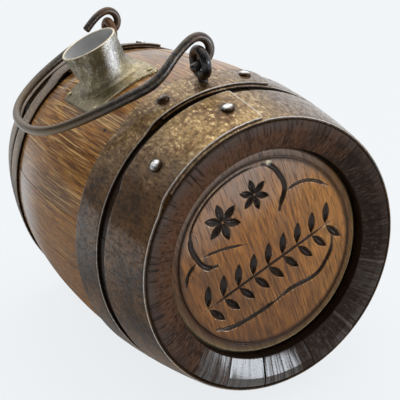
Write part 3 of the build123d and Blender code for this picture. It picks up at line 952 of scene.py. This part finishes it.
def stave_outline():
    """Closed outline of a stave's wall as (radius, place): bow, rear chime, inside arc and front chime."""
    reach = HALF_LENGTH - 2.5
    inner_y = HALF_LENGTH - INNER_END
    croze_y = HALF_LENGTH - CROZE_START
    groove_y = croze_y - CROZE_WIDTH
    groove_r = R_CROZE_WALL + CROZE_DEPTH
    chime = rounded((
        (bow(reach), reach, 0), (R_END, HALF_LENGTH, 0.9),
        (R_END - CHIME_ROUND - CHIME_LAND, HALF_LENGTH, 0.8), (R_CHIME_INNER, HALF_LENGTH - CHIME_DROP, 0.6),
        (R_CROZE_WALL, croze_y, 0.25), (groove_r, croze_y, 0.25), (groove_r, groove_y, 0.25),
        (R_INNER_END, groove_y, 0.25), (R_INNER_END, inner_y, 0),
    ))
    y = np.linspace(-reach, reach, 65)[1:-1]
    outer = np.stack([bow(y), y], 1)
    drop = R_BILGE - STAVE_BILGE_T - R_INNER_END
    inner_r = (inner_y**2 + drop**2) / (2 * drop)
    y = np.linspace(inner_y, -inner_y, 33)[1:-1]
    inside = np.stack([R_BILGE - STAVE_BILGE_T - inner_r + np.sqrt(inner_r**2 - y**2), y], 1)
    return np.vstack([outer, chime, inside, (chime * [1, -1])[::-1]])


def outline_normals(outline):
    """Outward unit normals of a closed outline, from the chord between each point's neighbours."""
    chord = np.roll(outline, -1, 0) - np.roll(outline, 1, 0)
    normal = np.stack([chord[:, 1], -chord[:, 0]], 1)
    normal /= np.maximum(np.linalg.norm(normal, axis=1), 1e-9)[:, None]
    x, y = outline.T
    area = np.sum(x * np.roll(y, -1) - np.roll(x, -1) * y)
    return normal if area > 0 else -normal


class KEG_OT_staves(bpy.types.Operator):
    """Makes the eighteen staves"""

    bl_idname = "keg.staves"
    bl_label = "Staves"

    def execute(self, context):
        """Carries the wall's outline round each stave's angle, its edges drawn in along a quarter circle."""
        finish = stave_finish()
        outline = stave_outline()
        normal = outline_normals(outline)
        draws = np.random.default_rng(7)
        arris = size("arris")
        chime = np.abs(outline[:, 1]) > HALF_LENGTH - CROZE_START
        share = np.clip((np.abs(normal[:, 1]) - 0.3) / 0.4, 0, 1) * chime
        skin = np.clip((normal[:, 0] - 0.3) / 0.4, 0, 1)
        for number, joints in enumerate(zip(STAVE_JOINTS[:-1], STAVE_JOINTS[1:]), 1):
            start, end = joints
            name = f"stave_{number:02d}"
            width = math.radians(end - start) * R_END
            inset = np.array([0.0, 0.1, 0.3, 0.6, 1.0]) * arris
            middle = np.linspace(arris, width - arris, 15)[1:-1]
            across = np.concatenate([inset, middle, width - inset[::-1]])[:, None]
            near = np.minimum(across, width - across)
            cut = arris - np.sqrt(arris**2 - np.square(arris - np.minimum(near, arris)))
            opening = [size("joint_gap") + (OPEN_GAP if joint == OPEN_JOINT else 0.0) for joint in joints]
            span = across / width * (width - sum(opening)) + opening[0]
            angle = start + np.degrees(span / R_END)
            from_end = np.minimum(angle - VARNISHED[0], VARNISHED[1] - angle)
            varnish = SHEEN.get(start, 0.0) * np.clip(from_end / 9, 0, 1)
            plank = draws.uniform(0, 1)
            low = draws.uniform(0.0, 0.14)
            wave = 0.05 * (1 + ripple(across, outline[:, 1], draws, 5, 38.0))
            drop = cut + (low + wave) * skin + 0.12 * draws.uniform(0, 1) * share
            radius = outline[:, 0] - drop * normal[:, 0]
            place = outline[:, 1] - drop * normal[:, 1]
            points = around(radius, angle, place)
            points[..., 2] = np.maximum(points[..., 2], 0)
            tone = [1.0 if joint in PALE_JOINTS else -0.7 for joint in joints]
            fade = np.exp(-across / SEAM_FADE) * tone[0] + np.exp(-(width - across) / SEAM_FADE) * tone[1]
            depth = bow(np.clip(place, -HALF_LENGTH, HALF_LENGTH)) - radius
            values = {
                "grain": vectors(np.radians(angle) * R_END, place, depth),
                "plank": plank,
                "end": share,
                "varnish": share * varnish,
                "land": np.clip(radius - R_END + CHIME_ROUND + CHIME_LAND + 0.3, 0, 1),
                "warm": np.cos(np.radians(angle + 40)),
                "seam": fade * share - 0.35 * np.abs(fade) * (1 - share),
            }
            shape = points, capped_faces(*radius.shape), values
            piece = add_piece(name + "_board", shape, finish, KEG, [name])
            if start < SPOUT_ANGLE < end:
                bore(piece, SPOUT_BASE_R, SPOUT_ANGLE, SPOUT_Y)
        return {"FINISHED"}


def bore(piece, radius, angle, y):
    """Cuts a round hole through a piece along the radius of the keg at an angle."""
    turn = turns(BORE_SIDES)[:, None]
    ring = radius * (np.cos(turn) * onward(angle) + np.sin(turn) * ALONG)
    foot = np.array([0.0, y, AXIS_Z])
    reaches = (R_BILGE - 2 * STAVE_BILGE_T, R_BILGE + STAVE_BILGE_T)
    points = np.stack([ring + (foot + radial(angle) * reach) for reach in reaches])
    cutter = link("bore", new_mesh("bore", points, capped_faces(2, BORE_SIDES)))
    cut = piece.modifiers.new("bore", "BOOLEAN")
    cut.operation = "DIFFERENCE"
    cut.object = cutter
    bpy.context.view_layer.update()
    graph = bpy.context.evaluated_depsgraph_get()
    holed = bpy.data.meshes.new_from_object(piece.evaluated_get(graph))
    piece.modifiers.clear()
    holed.name = piece.data.name + "_holed"
    piece.data = holed
    bpy.data.objects.remove(cutter)


def groove_depth(p, q, line, width, depth):
    """Depth of a V cut along a line: it falls in proportion to the distance and runs out at both ends."""
    distance = np.full(p.shape, np.inf)
    ending = np.zeros(p.shape)
    count = len(line)
    run = np.clip(np.minimum(np.arange(count), np.arange(count)[::-1]) / (0.16 * count), 0.45, 1)
    for (x, y), share in zip(line, run):
        d = np.hypot(p - x, q - y)
        ending = np.where(d < distance, share, ending)
        distance = np.minimum(distance, d)
    return depth * ending * np.clip(1 - distance / (width * (0.5 + 0.5 * ending)), 0, 1)


def leaf_depth(p, q, foot, turn, reach, length, width):
    """Depth of a chip cut like a leaf: a V across, pointed at both ends, at a reach from its foot."""
    c, s = math.cos(math.radians(turn)), math.sin(math.radians(turn))
    x, y = foot[0] + reach * c, foot[1] + reach * s
    u = (p - x) * c + (q - y) * s
    v = -(p - x) * s + (q - y) * c
    edge = width * np.clip(1 - np.square(u / length), 1e-6, 1)
    chip = size("chip_depth") * np.clip(1 - np.abs(v) / edge, 0, 1) * np.sqrt(edge / width)
    return np.where(np.abs(u) < length, chip, 0)


def carving(p, q):
    """Depth of the cut design on the front head at places in its plane: the deepest of all its cuts."""
    cuts = []
    for width, line in CARTOUCHE:
        line = smooth_line(line, 260)
        cuts.append(groove_depth(p, q, line, width * size("gouge_width"), width * size("gouge_depth")))
    for *foot, across in ROSETTES:
        for turn in np.arange(PETALS) * 360 / PETALS + 90:
            cuts.append(leaf_depth(p, q, foot, turn, across / 2, across / 2 * 0.94, across * 0.24))
    start, end = np.array(SPRIG_START), np.array(SPRIG_END)
    lean = math.degrees(math.atan2(*(end - start)[::-1]))
    stem = np.linspace(start + 0.04 * (end - start), end, 200)
    cuts.append(groove_depth(p, q, stem, STEM_CUT, STEM_CUT))
    for place in (np.arange(SPRIG_LEAVES) + 0.6) / SPRIG_LEAVES:
        foot = start + (end - start) * place
        for turn in (lean + LEAF_LEAN, lean - LEAF_LEAN):
            cuts.append(leaf_depth(p, q, foot, turn, LEAF_LENGTH * 1.12, LEAF_LENGTH, LEAF_WIDTH))
    return np.max(cuts, axis=0)


class KEG_OT_heads(bpy.types.Operator):
    """Makes the carved front head and the plain rear head"""

    bl_idname = "keg.heads"
    bl_label = "Heads"

    def execute(self, context):
        """Turns the head's outline about the axis on a polar grid, with the carving sunk into its field."""
        finish = head_finish()
        face = HALF_LENGTH - HEAD_RECESS
        edge = HALF_LENGTH - CROZE_START - HEAD_EDGE_GAP
        back = face - HEAD_THICKNESS
        rim = R_CROZE_WALL + CROZE_DEPTH - HEAD_EDGE_GAP
        neck = R_CROZE_WALL - HEAD_WALL_GAP
        turned = rounded((
            (R_HEAD_FLAT, face, 0), (R_HEAD_FIELD, face, 0.3),
            (R_HEAD_FIELD + HEAD_GROOVE_W / 2, face - HEAD_GROOVE_D, 0.25),
            (R_HEAD_FIELD + HEAD_GROOVE_W, face, 0.3), (R_HEAD_BEAD, face, 0.9), (neck, edge, 0.3),
            (rim, edge, 0.25), (rim, edge - HEAD_EDGE_T, 0.25), (neck, edge - HEAD_EDGE_T, 0.3),
            (R_HEAD_BEAD, back, 0.6), (R_HEAD_BEAD / 2, back, 0),
        ))
        bead_at = R_HEAD_BEAD - R_HEAD_FIELD
        dark_at = np.array([-1.2, 0.0, 1.2, 1.8, bead_at, bead_at + 1.2])
        turn = math.radians(CARVING_TURN)
        for name, side, rows, columns in (("front_head", -1, 128, 520), ("rear_head", 1, 40, 240)):
            field = np.stack([np.linspace(0, R_HEAD_FLAT, rows + 1)[1:-1], np.full(rows - 1, face)], 1)
            outline = np.vstack([field, turned])
            phi = turns(columns)
            r = outline[:, :1]
            x, z = r * np.cos(phi), r * np.sin(phi)
            p = x * math.cos(turn) - z * math.sin(turn)
            q = x * math.sin(turn) + z * math.cos(turn)
            draws = np.random.default_rng(11)
            on_face = (np.arange(len(outline)) < len(field) + 1)[:, None]
            cut = nick = np.zeros_like(p)
            if side < 0:
                cut = carving(p, q) * on_face
                nick = np.clip(1.3 - np.hypot(p - HEAD_NICK[0], (q - HEAD_NICK[1]) * 0.7), 0, 1) * on_face
            tool = 0.05 * ripple(p, q * 0.25, draws, 6, 9.0) * on_face
            y = side * (outline[:, 1:] - cut - 0.35 * nick - np.maximum(tool, 0))
            poles = np.array([[0, side * face, AXIS_Z], [0, side * back, AXIS_Z]])
            points = np.vstack([vectors(x, y, AXIS_Z + z).reshape(-1, 3), poles])
            ring, count = np.arange(columns), x.size
            faces = grid_faces(len(outline), columns)
            faces += pole_faces(ring, count)
            faces += pole_faces(ring + count - columns, count + 1)
            low = np.clip(0.35 - z / np.maximum(r, 1) + 0.3 * x / np.maximum(r, 1), 0, 1)
            marks = {
                "carve": cut,
                # Painted shade in the groove round the field and towards the croze
                "rim": np.interp(r, R_HEAD_FIELD + dark_at, (0.0, 0.75, 0.75, 0.4, 0.4, 1.0)),
                "nick": nick,
                "bead": np.clip(1.4 - np.abs(r - R_HEAD_BEAD - 0.4) / 0.7, 0, 1) * low,
            }
            values = {key: np.append(np.broadcast_to(mark, x.shape), (0, 0)) for key, mark in marks.items()}
            ends = [[0, 0, side * face], [0, 0, side * back]]
            values["grain"] = np.vstack([vectors(p, q, y).reshape(-1, 3), ends])
            add_piece(name + "_disc", (points, faces, values), finish, KEG, [name], 50.0)
        return {"FINISHED"}


class KEG_OT_hoops(bpy.types.Operator):
    """Makes the four lapped hoops"""

    bl_idname = "keg.hoops"
    bl_label = "Hoops"

    def execute(self, context):
        """Carries the strip's section round the keg. It lies on the bow, then climbs over its own start."""
        finish = hoop_finish()
        edge = size("hoop_edge")
        for name, side, (near, far), lap, corner, seed, (golden, crown, spread) in HOOPS:
            draws = np.random.default_rng(seed)
            climb = lap + 360 - LAP_HALF - RAMP_ARC
            stop = lap + 360 + LAP_HALF
            angle = np.concatenate([
                np.linspace(lap - LAP_HALF + 2, climb, 150)[:-1],
                np.linspace(climb, climb + RAMP_ARC, 10)[:-1],
                np.linspace(climb + RAMP_ARC, stop - 5, 24)[:-1],
                stop - 5 * np.square(np.linspace(1, 0, 14)),
            ])[:, None]
            lift = HOOP_T * smooth(np.clip((angle - climb) / RAMP_ARC, 0, 1))
            middle = (near + far) / 2
            mean = bow(middle)
            arc = np.radians(angle) * mean
            left = np.radians(stop - angle) * mean
            inset = corner - np.sqrt(corner**2 - np.square(corner - np.minimum(left, corner)))
            # The section as (distance across the strip, height), with rounded edges and a finer top
            width = far - near
            section = rounded((
                (width / 2, 0, 0), (width, 0, edge), (width, HOOP_T, edge), (0, HOOP_T, edge), (0, 0, edge),
                (width / 2, 0, 0),
            ), 3)[:-1]
            top = np.stack([width * (1 - np.linspace(0.08, 0.92, 9)), np.full(9, HOOP_T)], 1)
            split = int(np.argmax((section[:, 1] > HOOP_T - 1e-6) & (section[:, 0] < width / 2)))
            section = np.vstack([section[:split], top, section[split:]])
            half = section[:, 0] - width / 2
            height = section[:, 1] / HOOP_T
            wavy = 0.12 * (1 + ripple(angle, 0, draws, 5, 50.0))
            place = middle + half * (1 - 2 * (inset + wavy) / width)
            dent = 0.05 * (1 + ripple(arc, section[:, 0], draws, 7, 11.0))
            radius = bow(place) + lift + (section[:, 1] - dent * (height > 0.5)) + 0.04
            # Painted highlight on the outer top edges, faint before the lap's end
            rim = np.clip(1 - (width / 2 - np.abs(half)) / 0.4, 0, 1) * np.clip(height * 5 - 3.0, 0, 1)
            rim = rim * np.where(angle < lap + LAP_HALF, 0.1, 1.0)
            upper = (angle + 180) % 360 - 180
            # Gold that is partly painted highlight, falling off from a middle angle near the top
            gold_and_highlight = golden * np.exp(-np.square((upper - crown) / spread))
            from_rivets = [np.radians(upper - lap - turn) * mean for turn in (-RIVET_HALF, RIVET_HALF)]
            spot = np.minimum(*(np.hypot(distance, half) for distance in from_rivets))
            dirt_and_edge_shade = np.exp(-np.square((spot - RIVET_HEAD_R) / 0.7)) * (angle > lap + 180)
            values = {
                "grain": vectors(arc, place, radius),
                "worn": np.maximum(rim, np.exp(-left / 0.5) * (height > 0.8)),
                "gold_and_highlight": gold_and_highlight * np.clip(height * 4 - 2.4, 0, 1),
                # Grime round the rivets; the lower part of the section is painted shade
                "dirt_and_edge_shade": np.maximum(dirt_and_edge_shade, np.clip(2.6 - height * 4, 0, 1)),
            }
            shape = around(radius, angle, side * place), capped_faces(*radius.shape), values
            add_piece(name + "_strip", shape, finish, KEG, [name], 45.0)
        return {"FINISHED"}


def dome(origin, side, along, out, radius, height, draws, rows=9, columns=28, shine=RIVET_SHINE):
    """A hammered head with a short skirt: height rises as a sine, radius falls as a power of the cosine."""
    rise = np.linspace(0, np.pi / 2, rows)[:-1]
    r = np.concatenate([[radius * 0.96], radius * np.cos(rise) ** 0.8])[:, None]
    h = np.concatenate([[-DOME_SINK], height * np.sin(rise)])[:, None]
    phi = turns(columns)
    uneven = 1 - 0.05 * (1 + ripple(r * np.cos(phi), r * np.sin(phi) + h, draws, 4, radius * 2))
    u, v = r * np.cos(phi) * uneven, r * np.sin(phi) * uneven
    w = h * np.where(h > 0, uneven, 1)
    points = origin + u[..., None] * side + v[..., None] * along + w[..., None] * out
    poles = [origin + out * height * 0.95, origin - out * DOME_SINK]
    ring, count = np.arange(columns), u.size
    faces = grid_faces(len(r), columns)
    faces += pole_faces(ring + count - columns, count)
    faces += pole_faces(ring, count + 1)
    # Painted highlight: rises with height and leans to one side by shine
    worn = np.append(np.clip(0.75 * h / height + shine * v / radius, 0, 1), (0.75, 0))
    return np.vstack([points.reshape(-1, 3), poles]), faces, {"worn": worn}


class KEG_OT_rivets(bpy.types.Operator):
    """Makes the rivet heads of the hoops' laps and the nails of the saddle plate"""

    bl_idname = "keg.rivets"
    bl_label = "Rivets and Nails"

    def execute(self, context):
        """Sets one hammered dome on each seat."""
        draws = np.random.default_rng(31)
        heads = []
        for _, side, (near, far), lap, *_ in HOOPS:
            for angle in (lap - RIVET_HALF, lap + RIVET_HALF):
                place = seat(angle, side * (near + far) / 2, 2 * HOOP_T)
                shape = dome(*place, RIVET_HEAD_R, RIVET_HEAD_H, draws, shine=-RIVET_SHINE * side)
                # This rivet gets a weaker painted highlight
                if (side, angle) == DULL_RIVET:
                    shape[2]["worn"] *= 0.4
                heads.append(shape)
        add_piece("rivet_heads", merge(heads), rivet_finish(), KEG, ["hoop_rivets"], 60.0)
        nails = [
            dome(*seat(angle, place, PLATE_T), NAIL_HEAD_R, NAIL_HEAD_H, draws, 6, 18)
            for angle in NAIL_ANGLES for place in NAIL_PLACES
        ]
        add_piece("nail_heads", merge(nails), nail_finish(), KEG, ["plate_nails"], 60.0)
        return {"FINISHED"}


def tube(line, radius, across, sides, closed=False):
    """Round bar along a line: a ring square to the line at each point, set out from a cross vector."""
    if closed:
        way = unit(np.roll(line, -1, 0) - np.roll(line, 1, 0))
    else:
        way = unit(np.gradient(line, axis=0))
    first = unit(across - (across * way).sum(1)[:, None] * way)[:, None]
    second = np.cross(way, first[:, 0])[:, None]
    phi = turns(sides)[:, None]
    return line[:, None] + radius[..., None] * (np.cos(phi) * first + np.sin(phi) * second)


def hinge_point(angle, y):
    """Middle of an eye's top wire, which is where the bail turns."""
    return around(bow(y) + 2 * HOOP_T + HINGE_HEIGHT, angle, y)


class KEG_OT_eyes(bpy.types.Operator):
    """Makes the two forged eyes"""

    bl_idname = "keg.eyes"
    bl_label = "Eyes"

    def execute(self, context):
        """Each eye is an uneven ring of wire along the keg and a shank down through the hoop."""
        finish = iron_finish()
        turn = turns(EYE_STEPS)[:, None]
        wave = 2 * np.cos(turns(EYE_SIDES))
        ring_faces = grid_faces(EYE_STEPS, EYE_SIDES, wrap_rows=True)
        step = np.array([0.0, 0.4, 1.2, 2.2, 3.2, 6.0, EYE_SINK])[:, None]
        girth = EYE_WIRE_R * np.array([0.7, 0.96, 1.0, 0.98, 0.98, 0.98, 0.98])[:, None]
        for name, angle, y, rust, seed in (
            ("front_eye", FRONT_EYE_ANGLE, -EYE_Y, 0.15, 41), ("rear_eye", REAR_EYE_ANGLE, EYE_Y, 0.75, 42)
        ):
            draws = np.random.default_rng(seed)
            out, side = radial(angle), onward(angle)
            centre = hinge_point(angle, y) - out * EYE_RING_R
            line = centre + EYE_RING_R * (np.sin(turn) * out + np.cos(turn) * ALONG)
            uneven = 1 - 0.035 * (1 + ripple(turn * EYE_RING_R, wave, draws, 5, 7.0))
            ring = tube(line, EYE_WIRE_R * uneven, side, EYE_SIDES, closed=True)
            shank = tube(centre - out * (EYE_RING_R - 0.9 + step), girth, side, EYE_SIDES)
            shape = merge([
                (ring, ring_faces, {"rusty": rust + 0.3 * np.sin(turn)}),
                (shank, capped_faces(len(step), EYE_SIDES), {"rusty": rust + 0.1}),
            ])
            add_piece(name + "_forged", shape, finish, KEG, [name], 60.0)
        return {"FINISHED"}


class KEG_OT_bail(bpy.types.Operator):
    """Makes the wire bail with its two hooks"""

    bl_idname = "keg.bail"
    bl_label = "Bail"

    def execute(self, context):
        """Carries a round section along the bent wire, with a blunt rounded end at both hooks."""
        front = hinge_point(FRONT_EYE_ANGLE, -EYE_Y)
        rear = hinge_point(REAR_EYE_ANGLE, EYE_Y)
        hinge = unit(rear - front)
        rest = radial(-REST_ANGLE)
        reach = unit(rest - hinge * rest.dot(hinge))
        lift = np.cross(hinge, reach)
        turn = np.radians(np.arange(0, 181, 30))
        curve = np.array(BAIL_CURVE)
        leg = HOOK_R * smooth(np.clip(1 - curve[:, 0] / LEG_BLEND, 0, 1)) * np.where(curve[:, 1] > 0, -1, 1)
        # Reach, place and lift of each bend
        hook = vectors(-HOOK_R * np.sin(turn), 0, -HOOK_R * np.cos(turn))
        rear_lift = (HOOK_R + REAR_TIP[1]) / 2 + HOOK_R / 8
        bends = np.vstack([
            [[FRONT_TIP, -EYE_Y, -HOOK_R], [FRONT_TIP / 2, -EYE_Y, -HOOK_R]],
            hook + [0, -EYE_Y, 0],
            np.column_stack([curve, leg]),
            hook + [0, EYE_Y, 0],
            [[REAR_TIP[0] / 2, EYE_Y, rear_lift], [REAR_TIP[0], EYE_Y, REAR_TIP[1]]],
        ])
        far, place, high = np.split(smooth_line(bends, BAIL_STEPS), 3, axis=1)
        line = (front + rear) / 2 + far * reach + place * hinge + high * lift
        steady = np.clip(1 - np.abs(far) / 14, 0, 1)
        across = steady * hinge + (1 - steady) * lift
        gone = path_lengths(line)[:, None]
        left = np.minimum(gone, gone[-1] - gone)
        end = np.sqrt(1 - np.square(1 - np.clip(left / BAIL_BLUNT, 0, 1))) * 0.3 + 0.7
        draws = np.random.default_rng(51)
        uneven = 1 - 0.02 * (1 + ripple(gone, 2 * np.cos(turns(BAIL_SIDES)), draws, 6, 9.0))
        stout = 1 + ARM_SWELL * np.clip(np.minimum(far - 6, 52 - far) / 10, 0, 1) * (place < 0)
        points = tube(line, BAIL_WIRE_R * uneven * (end * stout), across, BAIL_SIDES)
        values = {
            "rusty": np.clip(1.15 - np.abs(far + 1) / 8, 0, 1) * np.where(place > 0, 0.75, 0.6),
            "handled": np.clip(far / 50 - 0.1, 0, 1),
        }
        shape = points, capped_faces(BAIL_STEPS, BAIL_SIDES), values
        add_piece("bail_wire", shape, wire_finish(), BAIL, ["bail"], 50.0)
        return {"FINISHED"}


def plate_height(u, v):
    """Height of the plate's top over the bilge at the spout, for places round (u) and along (v) the keg."""
    y = v + SPOUT_Y
    return np.sqrt(np.square(bow(y) + PLATE_T) - np.square(u)) - R_BILGE


class KEG_OT_spout(bpy.types.Operator):
    """Makes the spout and its saddle plate"""

    bl_idname = "keg.spout"
    bl_label = "Spout and Plate"

    def execute(self, context):
        """Turns the spout's outline about its axis, with a solder foot that lies down on the curved plate."""
        finish = tin_finish()
        draws = np.random.default_rng(61)
        out, side = radial(SPOUT_ANGLE), onward(SPOUT_ANGLE)
        foot = np.array([0.0, SPOUT_Y, AXIS_Z]) + out * R_BILGE
        phi = turns(SPOUT_SIDES)
        c, s = np.cos(phi), np.sin(phi)
        h = np.linspace(SPOUT_FOOT, SPOUT_HEIGHT - SPOUT_LIP, 9)
        flare = (SPOUT_RIM_R - SPOUT_BASE_R) / (SPOUT_HEIGHT - SPOUT_STRAIGHT)
        wall = SPOUT_BASE_R + flare * (h - SPOUT_STRAIGHT)
        bead = np.linspace(0, np.pi, 7)
        rim_r = SPOUT_RIM_R - SPOUT_WALL / 2 + SPOUT_WALL / 2 * np.cos(bead)
        rim_h = SPOUT_HEIGHT - SPOUT_LIP + SPOUT_LIP * np.sin(bead)
        inner_h = np.concatenate([h[::-1], [SPOUT_STRAIGHT, 0.0, -4.0, -STAVE_BILGE_T]])
        inner_r = np.concatenate([wall[::-1], np.full(4, SPOUT_BASE_R)]) - SPOUT_WALL
        # Upper rows are rings square to the spout. Each row of the foot bends further down to the plate.
        fall = np.linspace(0, 1, 9)[:, None]
        spread = size("solder") * (1 + 0.45 * ripple(6 * c, 6 * s, draws, 4, 14.0))
        foot_r = SPOUT_BASE_R + 0.12 + spread * (1 - np.cos(fall * np.pi / 2)) ** 1.15
        rise = SPOUT_FOOT * (1 - np.sin(fall * np.pi / 2))
        u, v = foot_r * c, foot_r * s
        lumps = 0.12 * ripple(u, v, draws, 6, 5.0) * np.sin(fall * np.pi)
        foot_h = plate_height(u, v) * fall + rise * (1 - 0.1 * fall) + lumps + 0.03
        under_h = plate_height(SPOUT_BASE_R * c, SPOUT_BASE_R * s) - 0.3
        under_r = np.full((2, SPOUT_SIDES), SPOUT_BASE_R)
        rings_r = np.concatenate([inner_r[::-1], rim_r[::-1], wall[::-1]])
        rings_h = np.concatenate([inner_h[::-1], rim_h[::-1], h[::-1]])
        full = np.ones(SPOUT_SIDES)
        r = np.vstack([rings_r[:, None] * full, foot_r[1:], foot_r[-1:] - 0.05, under_r])
        height = np.vstack([
            rings_h[:, None] * full, foot_h[1:], foot_h[-1:] - 0.25, under_h, -STAVE_BILGE_T * full
        ])
        oval = 1 + 0.006 * np.cos(2 * phi + 0.7) * np.clip(height / SPOUT_HEIGHT, 0, 1) - 0.006
        u, v = r * oval * c, r * oval * s
        points = foot + u[..., None] * side + v[..., None] * ALONG + height[..., None] * out
        row = np.arange(len(r))[:, None]
        inner = (row < len(inner_r)) * 1.0
        values = {
            "worn": (row >= len(inner_r)) & (row < len(inner_r) + len(rim_r)),
            "inner": inner,
            "gold": np.clip(1 - height / 7, 0, 1) * (1 - inner),
        }
        shape = points, grid_faces(len(r), SPOUT_SIDES, wrap_rows=True), values
        add_piece("spout_tube", shape, finish, KEG, ["spout"], 50.0)
        self.plate(finish, draws)
        return {"FINISHED"}

    def plate(self, finish, draws):
        """Spreads rings from the spout's hole out to the plate's edge, on the bow, and back below."""
        phi = turns(PLATE_SIDES)
        c, s = np.cos(phi), np.sin(phi)
        low, high = np.radians((PLATE_START - SPOUT_ANGLE, PLATE_END - SPOUT_ANGLE)) * R_BILGE
        reach_u = np.where(c > 0, high, -low)
        reach_v = np.where(s > 0, PLATE_REAR - SPOUT_Y, SPOUT_Y - PLATE_FRONT)
        power = PLATE_SQUARENESS
        edge = ((np.abs(c) / reach_u) ** power + (np.abs(s) / reach_v) ** power) ** (-1 / power)
        edge = edge - 0.125 * (1 + ripple(10 * c, 10 * s, draws, 5, 12.0))
        hole = SPOUT_BASE_R - 0.35
        share = np.concatenate([[0.0], np.linspace(0.06, 0.96, 14), [0.985, 1.0]])[:, None]
        r = hole + (edge - hole) * share
        u, v = r * c, r * s
        dents = 0.07 * (1 + ripple(u, v, draws, 6, 9.0))
        soft = np.where(share > 0.99, 0.22, np.where(share > 0.97, 0.06, 0.0))
        top = PLATE_T - dents - soft
        lift = np.vstack([top, np.full_like(top, 0.03)])
        u = np.vstack([u, u[::-1]])
        y = np.vstack([v, v[::-1]]) + SPOUT_Y
        points = around(bow(y) + lift, SPOUT_ANGLE + np.degrees(u / R_BILGE), y)
        row = np.arange(len(u))[:, None]
        worn = 0.3 * ((row >= len(share) - 2) & (row <= len(share)))
        values = {"worn": worn, "inner": 0.0, "gold": 1.0}
        shape = points, grid_faces(len(u), PLATE_SIDES, wrap_rows=True), values
        add_piece("saddle_sheet", shape, finish, KEG, ["saddle_plate"], 50.0)


def lamp(name, kind, place, energy, **settings):
    """A lamp at a place that shines at the middle of the keg."""
    data = bpy.data.lights.new(name, kind)
    data.energy = energy
    for key, value in settings.items():
        setattr(data, key, value)
    thing = link(name, data)
    thing.location = place
    thing.visible_camera = False
    aim = Vector((0, 0, AXIS_Z * MM)) - Vector(place)
    thing.rotation_euler = aim.to_track_quat("-Z", "Y").to_euler()


class KEG_OT_stage(bpy.types.Operator):
    """Makes the floor, the soft light and the camera"""

    bl_idname = "keg.stage"
    bl_label = "Stage"

    def execute(self, context):
        """A pale round floor, a sky that darkens towards the horizon, a soft key and a low window."""
        scene = context.scene
        stage = scene.keg_stage
        turn = turns(FLOOR_SIDES)
        mesh = bpy.data.meshes.new("floor")
        ring = FLOOR_RADIUS * vectors(np.cos(turn), np.sin(turn), 0)
        mesh.from_pydata(ring.tolist(), [], [list(range(FLOOR_SIDES))])
        mesh.materials.append(floor_finish())
        floor = link("floor", mesh)
        sky = Shader(bpy.data.worlds.new("studio"))
        scene.world = sky.owner
        ray = sky.node("ShaderNodeTexCoord")
        ends = {0: ray, 1: Vector(SKY_FROM).normalized()}
        toward = sky.node("ShaderNodeVectorMath", {"operation": "DOT_PRODUCT"}, ends, output=1)
        level = stage.wall + (stage.sky - stage.wall) * toward.step(-0.05, 0.95)
        sheet = (1.0 - sky.axis(ray, 2).step(*SHEET_TOP)) * sky.axis(ray, 1).step(0.2, 0.5)
        level = level.larger(sheet * stage.sheet)
        shine = sky.node("ShaderNodeBackground", {}, {"Color": SKY_COLOUR, "Strength": level})
        sky.node("ShaderNodeOutputWorld", {}, {0: shine})
        lamp("key", "SUN", KEY_FROM, stage.key, angle=math.radians(KEY_SPREAD), color=KEY_COLOUR)
        lamp("window", "AREA", WINDOW_FROM, stage.window, shape="RECTANGLE", size=WINDOW_SIZE[0],
             size_y=WINDOW_SIZE[1], color=WINDOW_COLOUR)
        lens = bpy.data.cameras.new("camera")
        lens.lens = CAMERA_LENS
        lens.clip_start = 0.01
        camera = link("camera", lens)
        back = (Vector(CAMERA_PLACE) - Vector(CAMERA_TARGET)).normalized()
        level = Vector((0, 0, 1)).cross(back).normalized()
        upright = back.cross(level)
        roll = math.radians(CAMERA_ROLL)
        right = level * math.cos(roll) + upright * math.sin(roll)
        up = back.cross(right)
        turned = Matrix((right, up, back)).transposed()
        camera.matrix_world = Matrix.Translation(CAMERA_PLACE) @ turned.to_4x4()
        scene.camera = camera
        scene.view_settings.view_transform = "Standard"
        return {"FINISHED"}


class KEG_PT_panel(bpy.types.Panel):
    """Lists the keg's pieces, sizes and colours"""

    bl_idname = "KEG_PT_panel"
    bl_label = "Coopered Keg"
    bl_space_type = "VIEW_3D"
    bl_region_type = "UI"
    bl_category = "Keg"

    def draw(self, context):
        """One button for each operator, then the settings."""
        for operator in OPERATORS:
            self.layout.operator(operator.bl_idname)
        for group in (context.scene.keg_sizes, context.scene.keg_colours, context.scene.keg_stage):
            box = self.layout.box()
            for key in type(group).__annotations__:
                box.prop(group, key)


OPERATORS = (
    KEG_OT_staves, KEG_OT_heads, KEG_OT_hoops, KEG_OT_rivets,
    KEG_OT_eyes, KEG_OT_bail, KEG_OT_spout, KEG_OT_stage,
)
GROUPS = {"keg_sizes": KegSizes, "keg_colours": KegColours, "keg_stage": KegStage}


def register():
    """Registers the groups, operators and panel."""
    for name, group in GROUPS.items():
        bpy.utils.register_class(group)
        setattr(bpy.types.Scene, name, bpy.props.PointerProperty(type=group))
    for made in (*OPERATORS, KEG_PT_panel):
        bpy.utils.register_class(made)


def unregister():
    """Takes them out again."""
    for made in (KEG_PT_panel, *reversed(OPERATORS)):
        bpy.utils.unregister_class(made)
    for name, group in GROUPS.items():
        delattr(bpy.types.Scene, name)
        bpy.utils.unregister_class(group)


def main():
    """Builds every piece and the stage."""
    register()
    for operator in OPERATORS:
        group, name = operator.bl_idname.split(".")
        getattr(getattr(bpy.ops, group), name)()


if __name__ == "__main__":
    main()
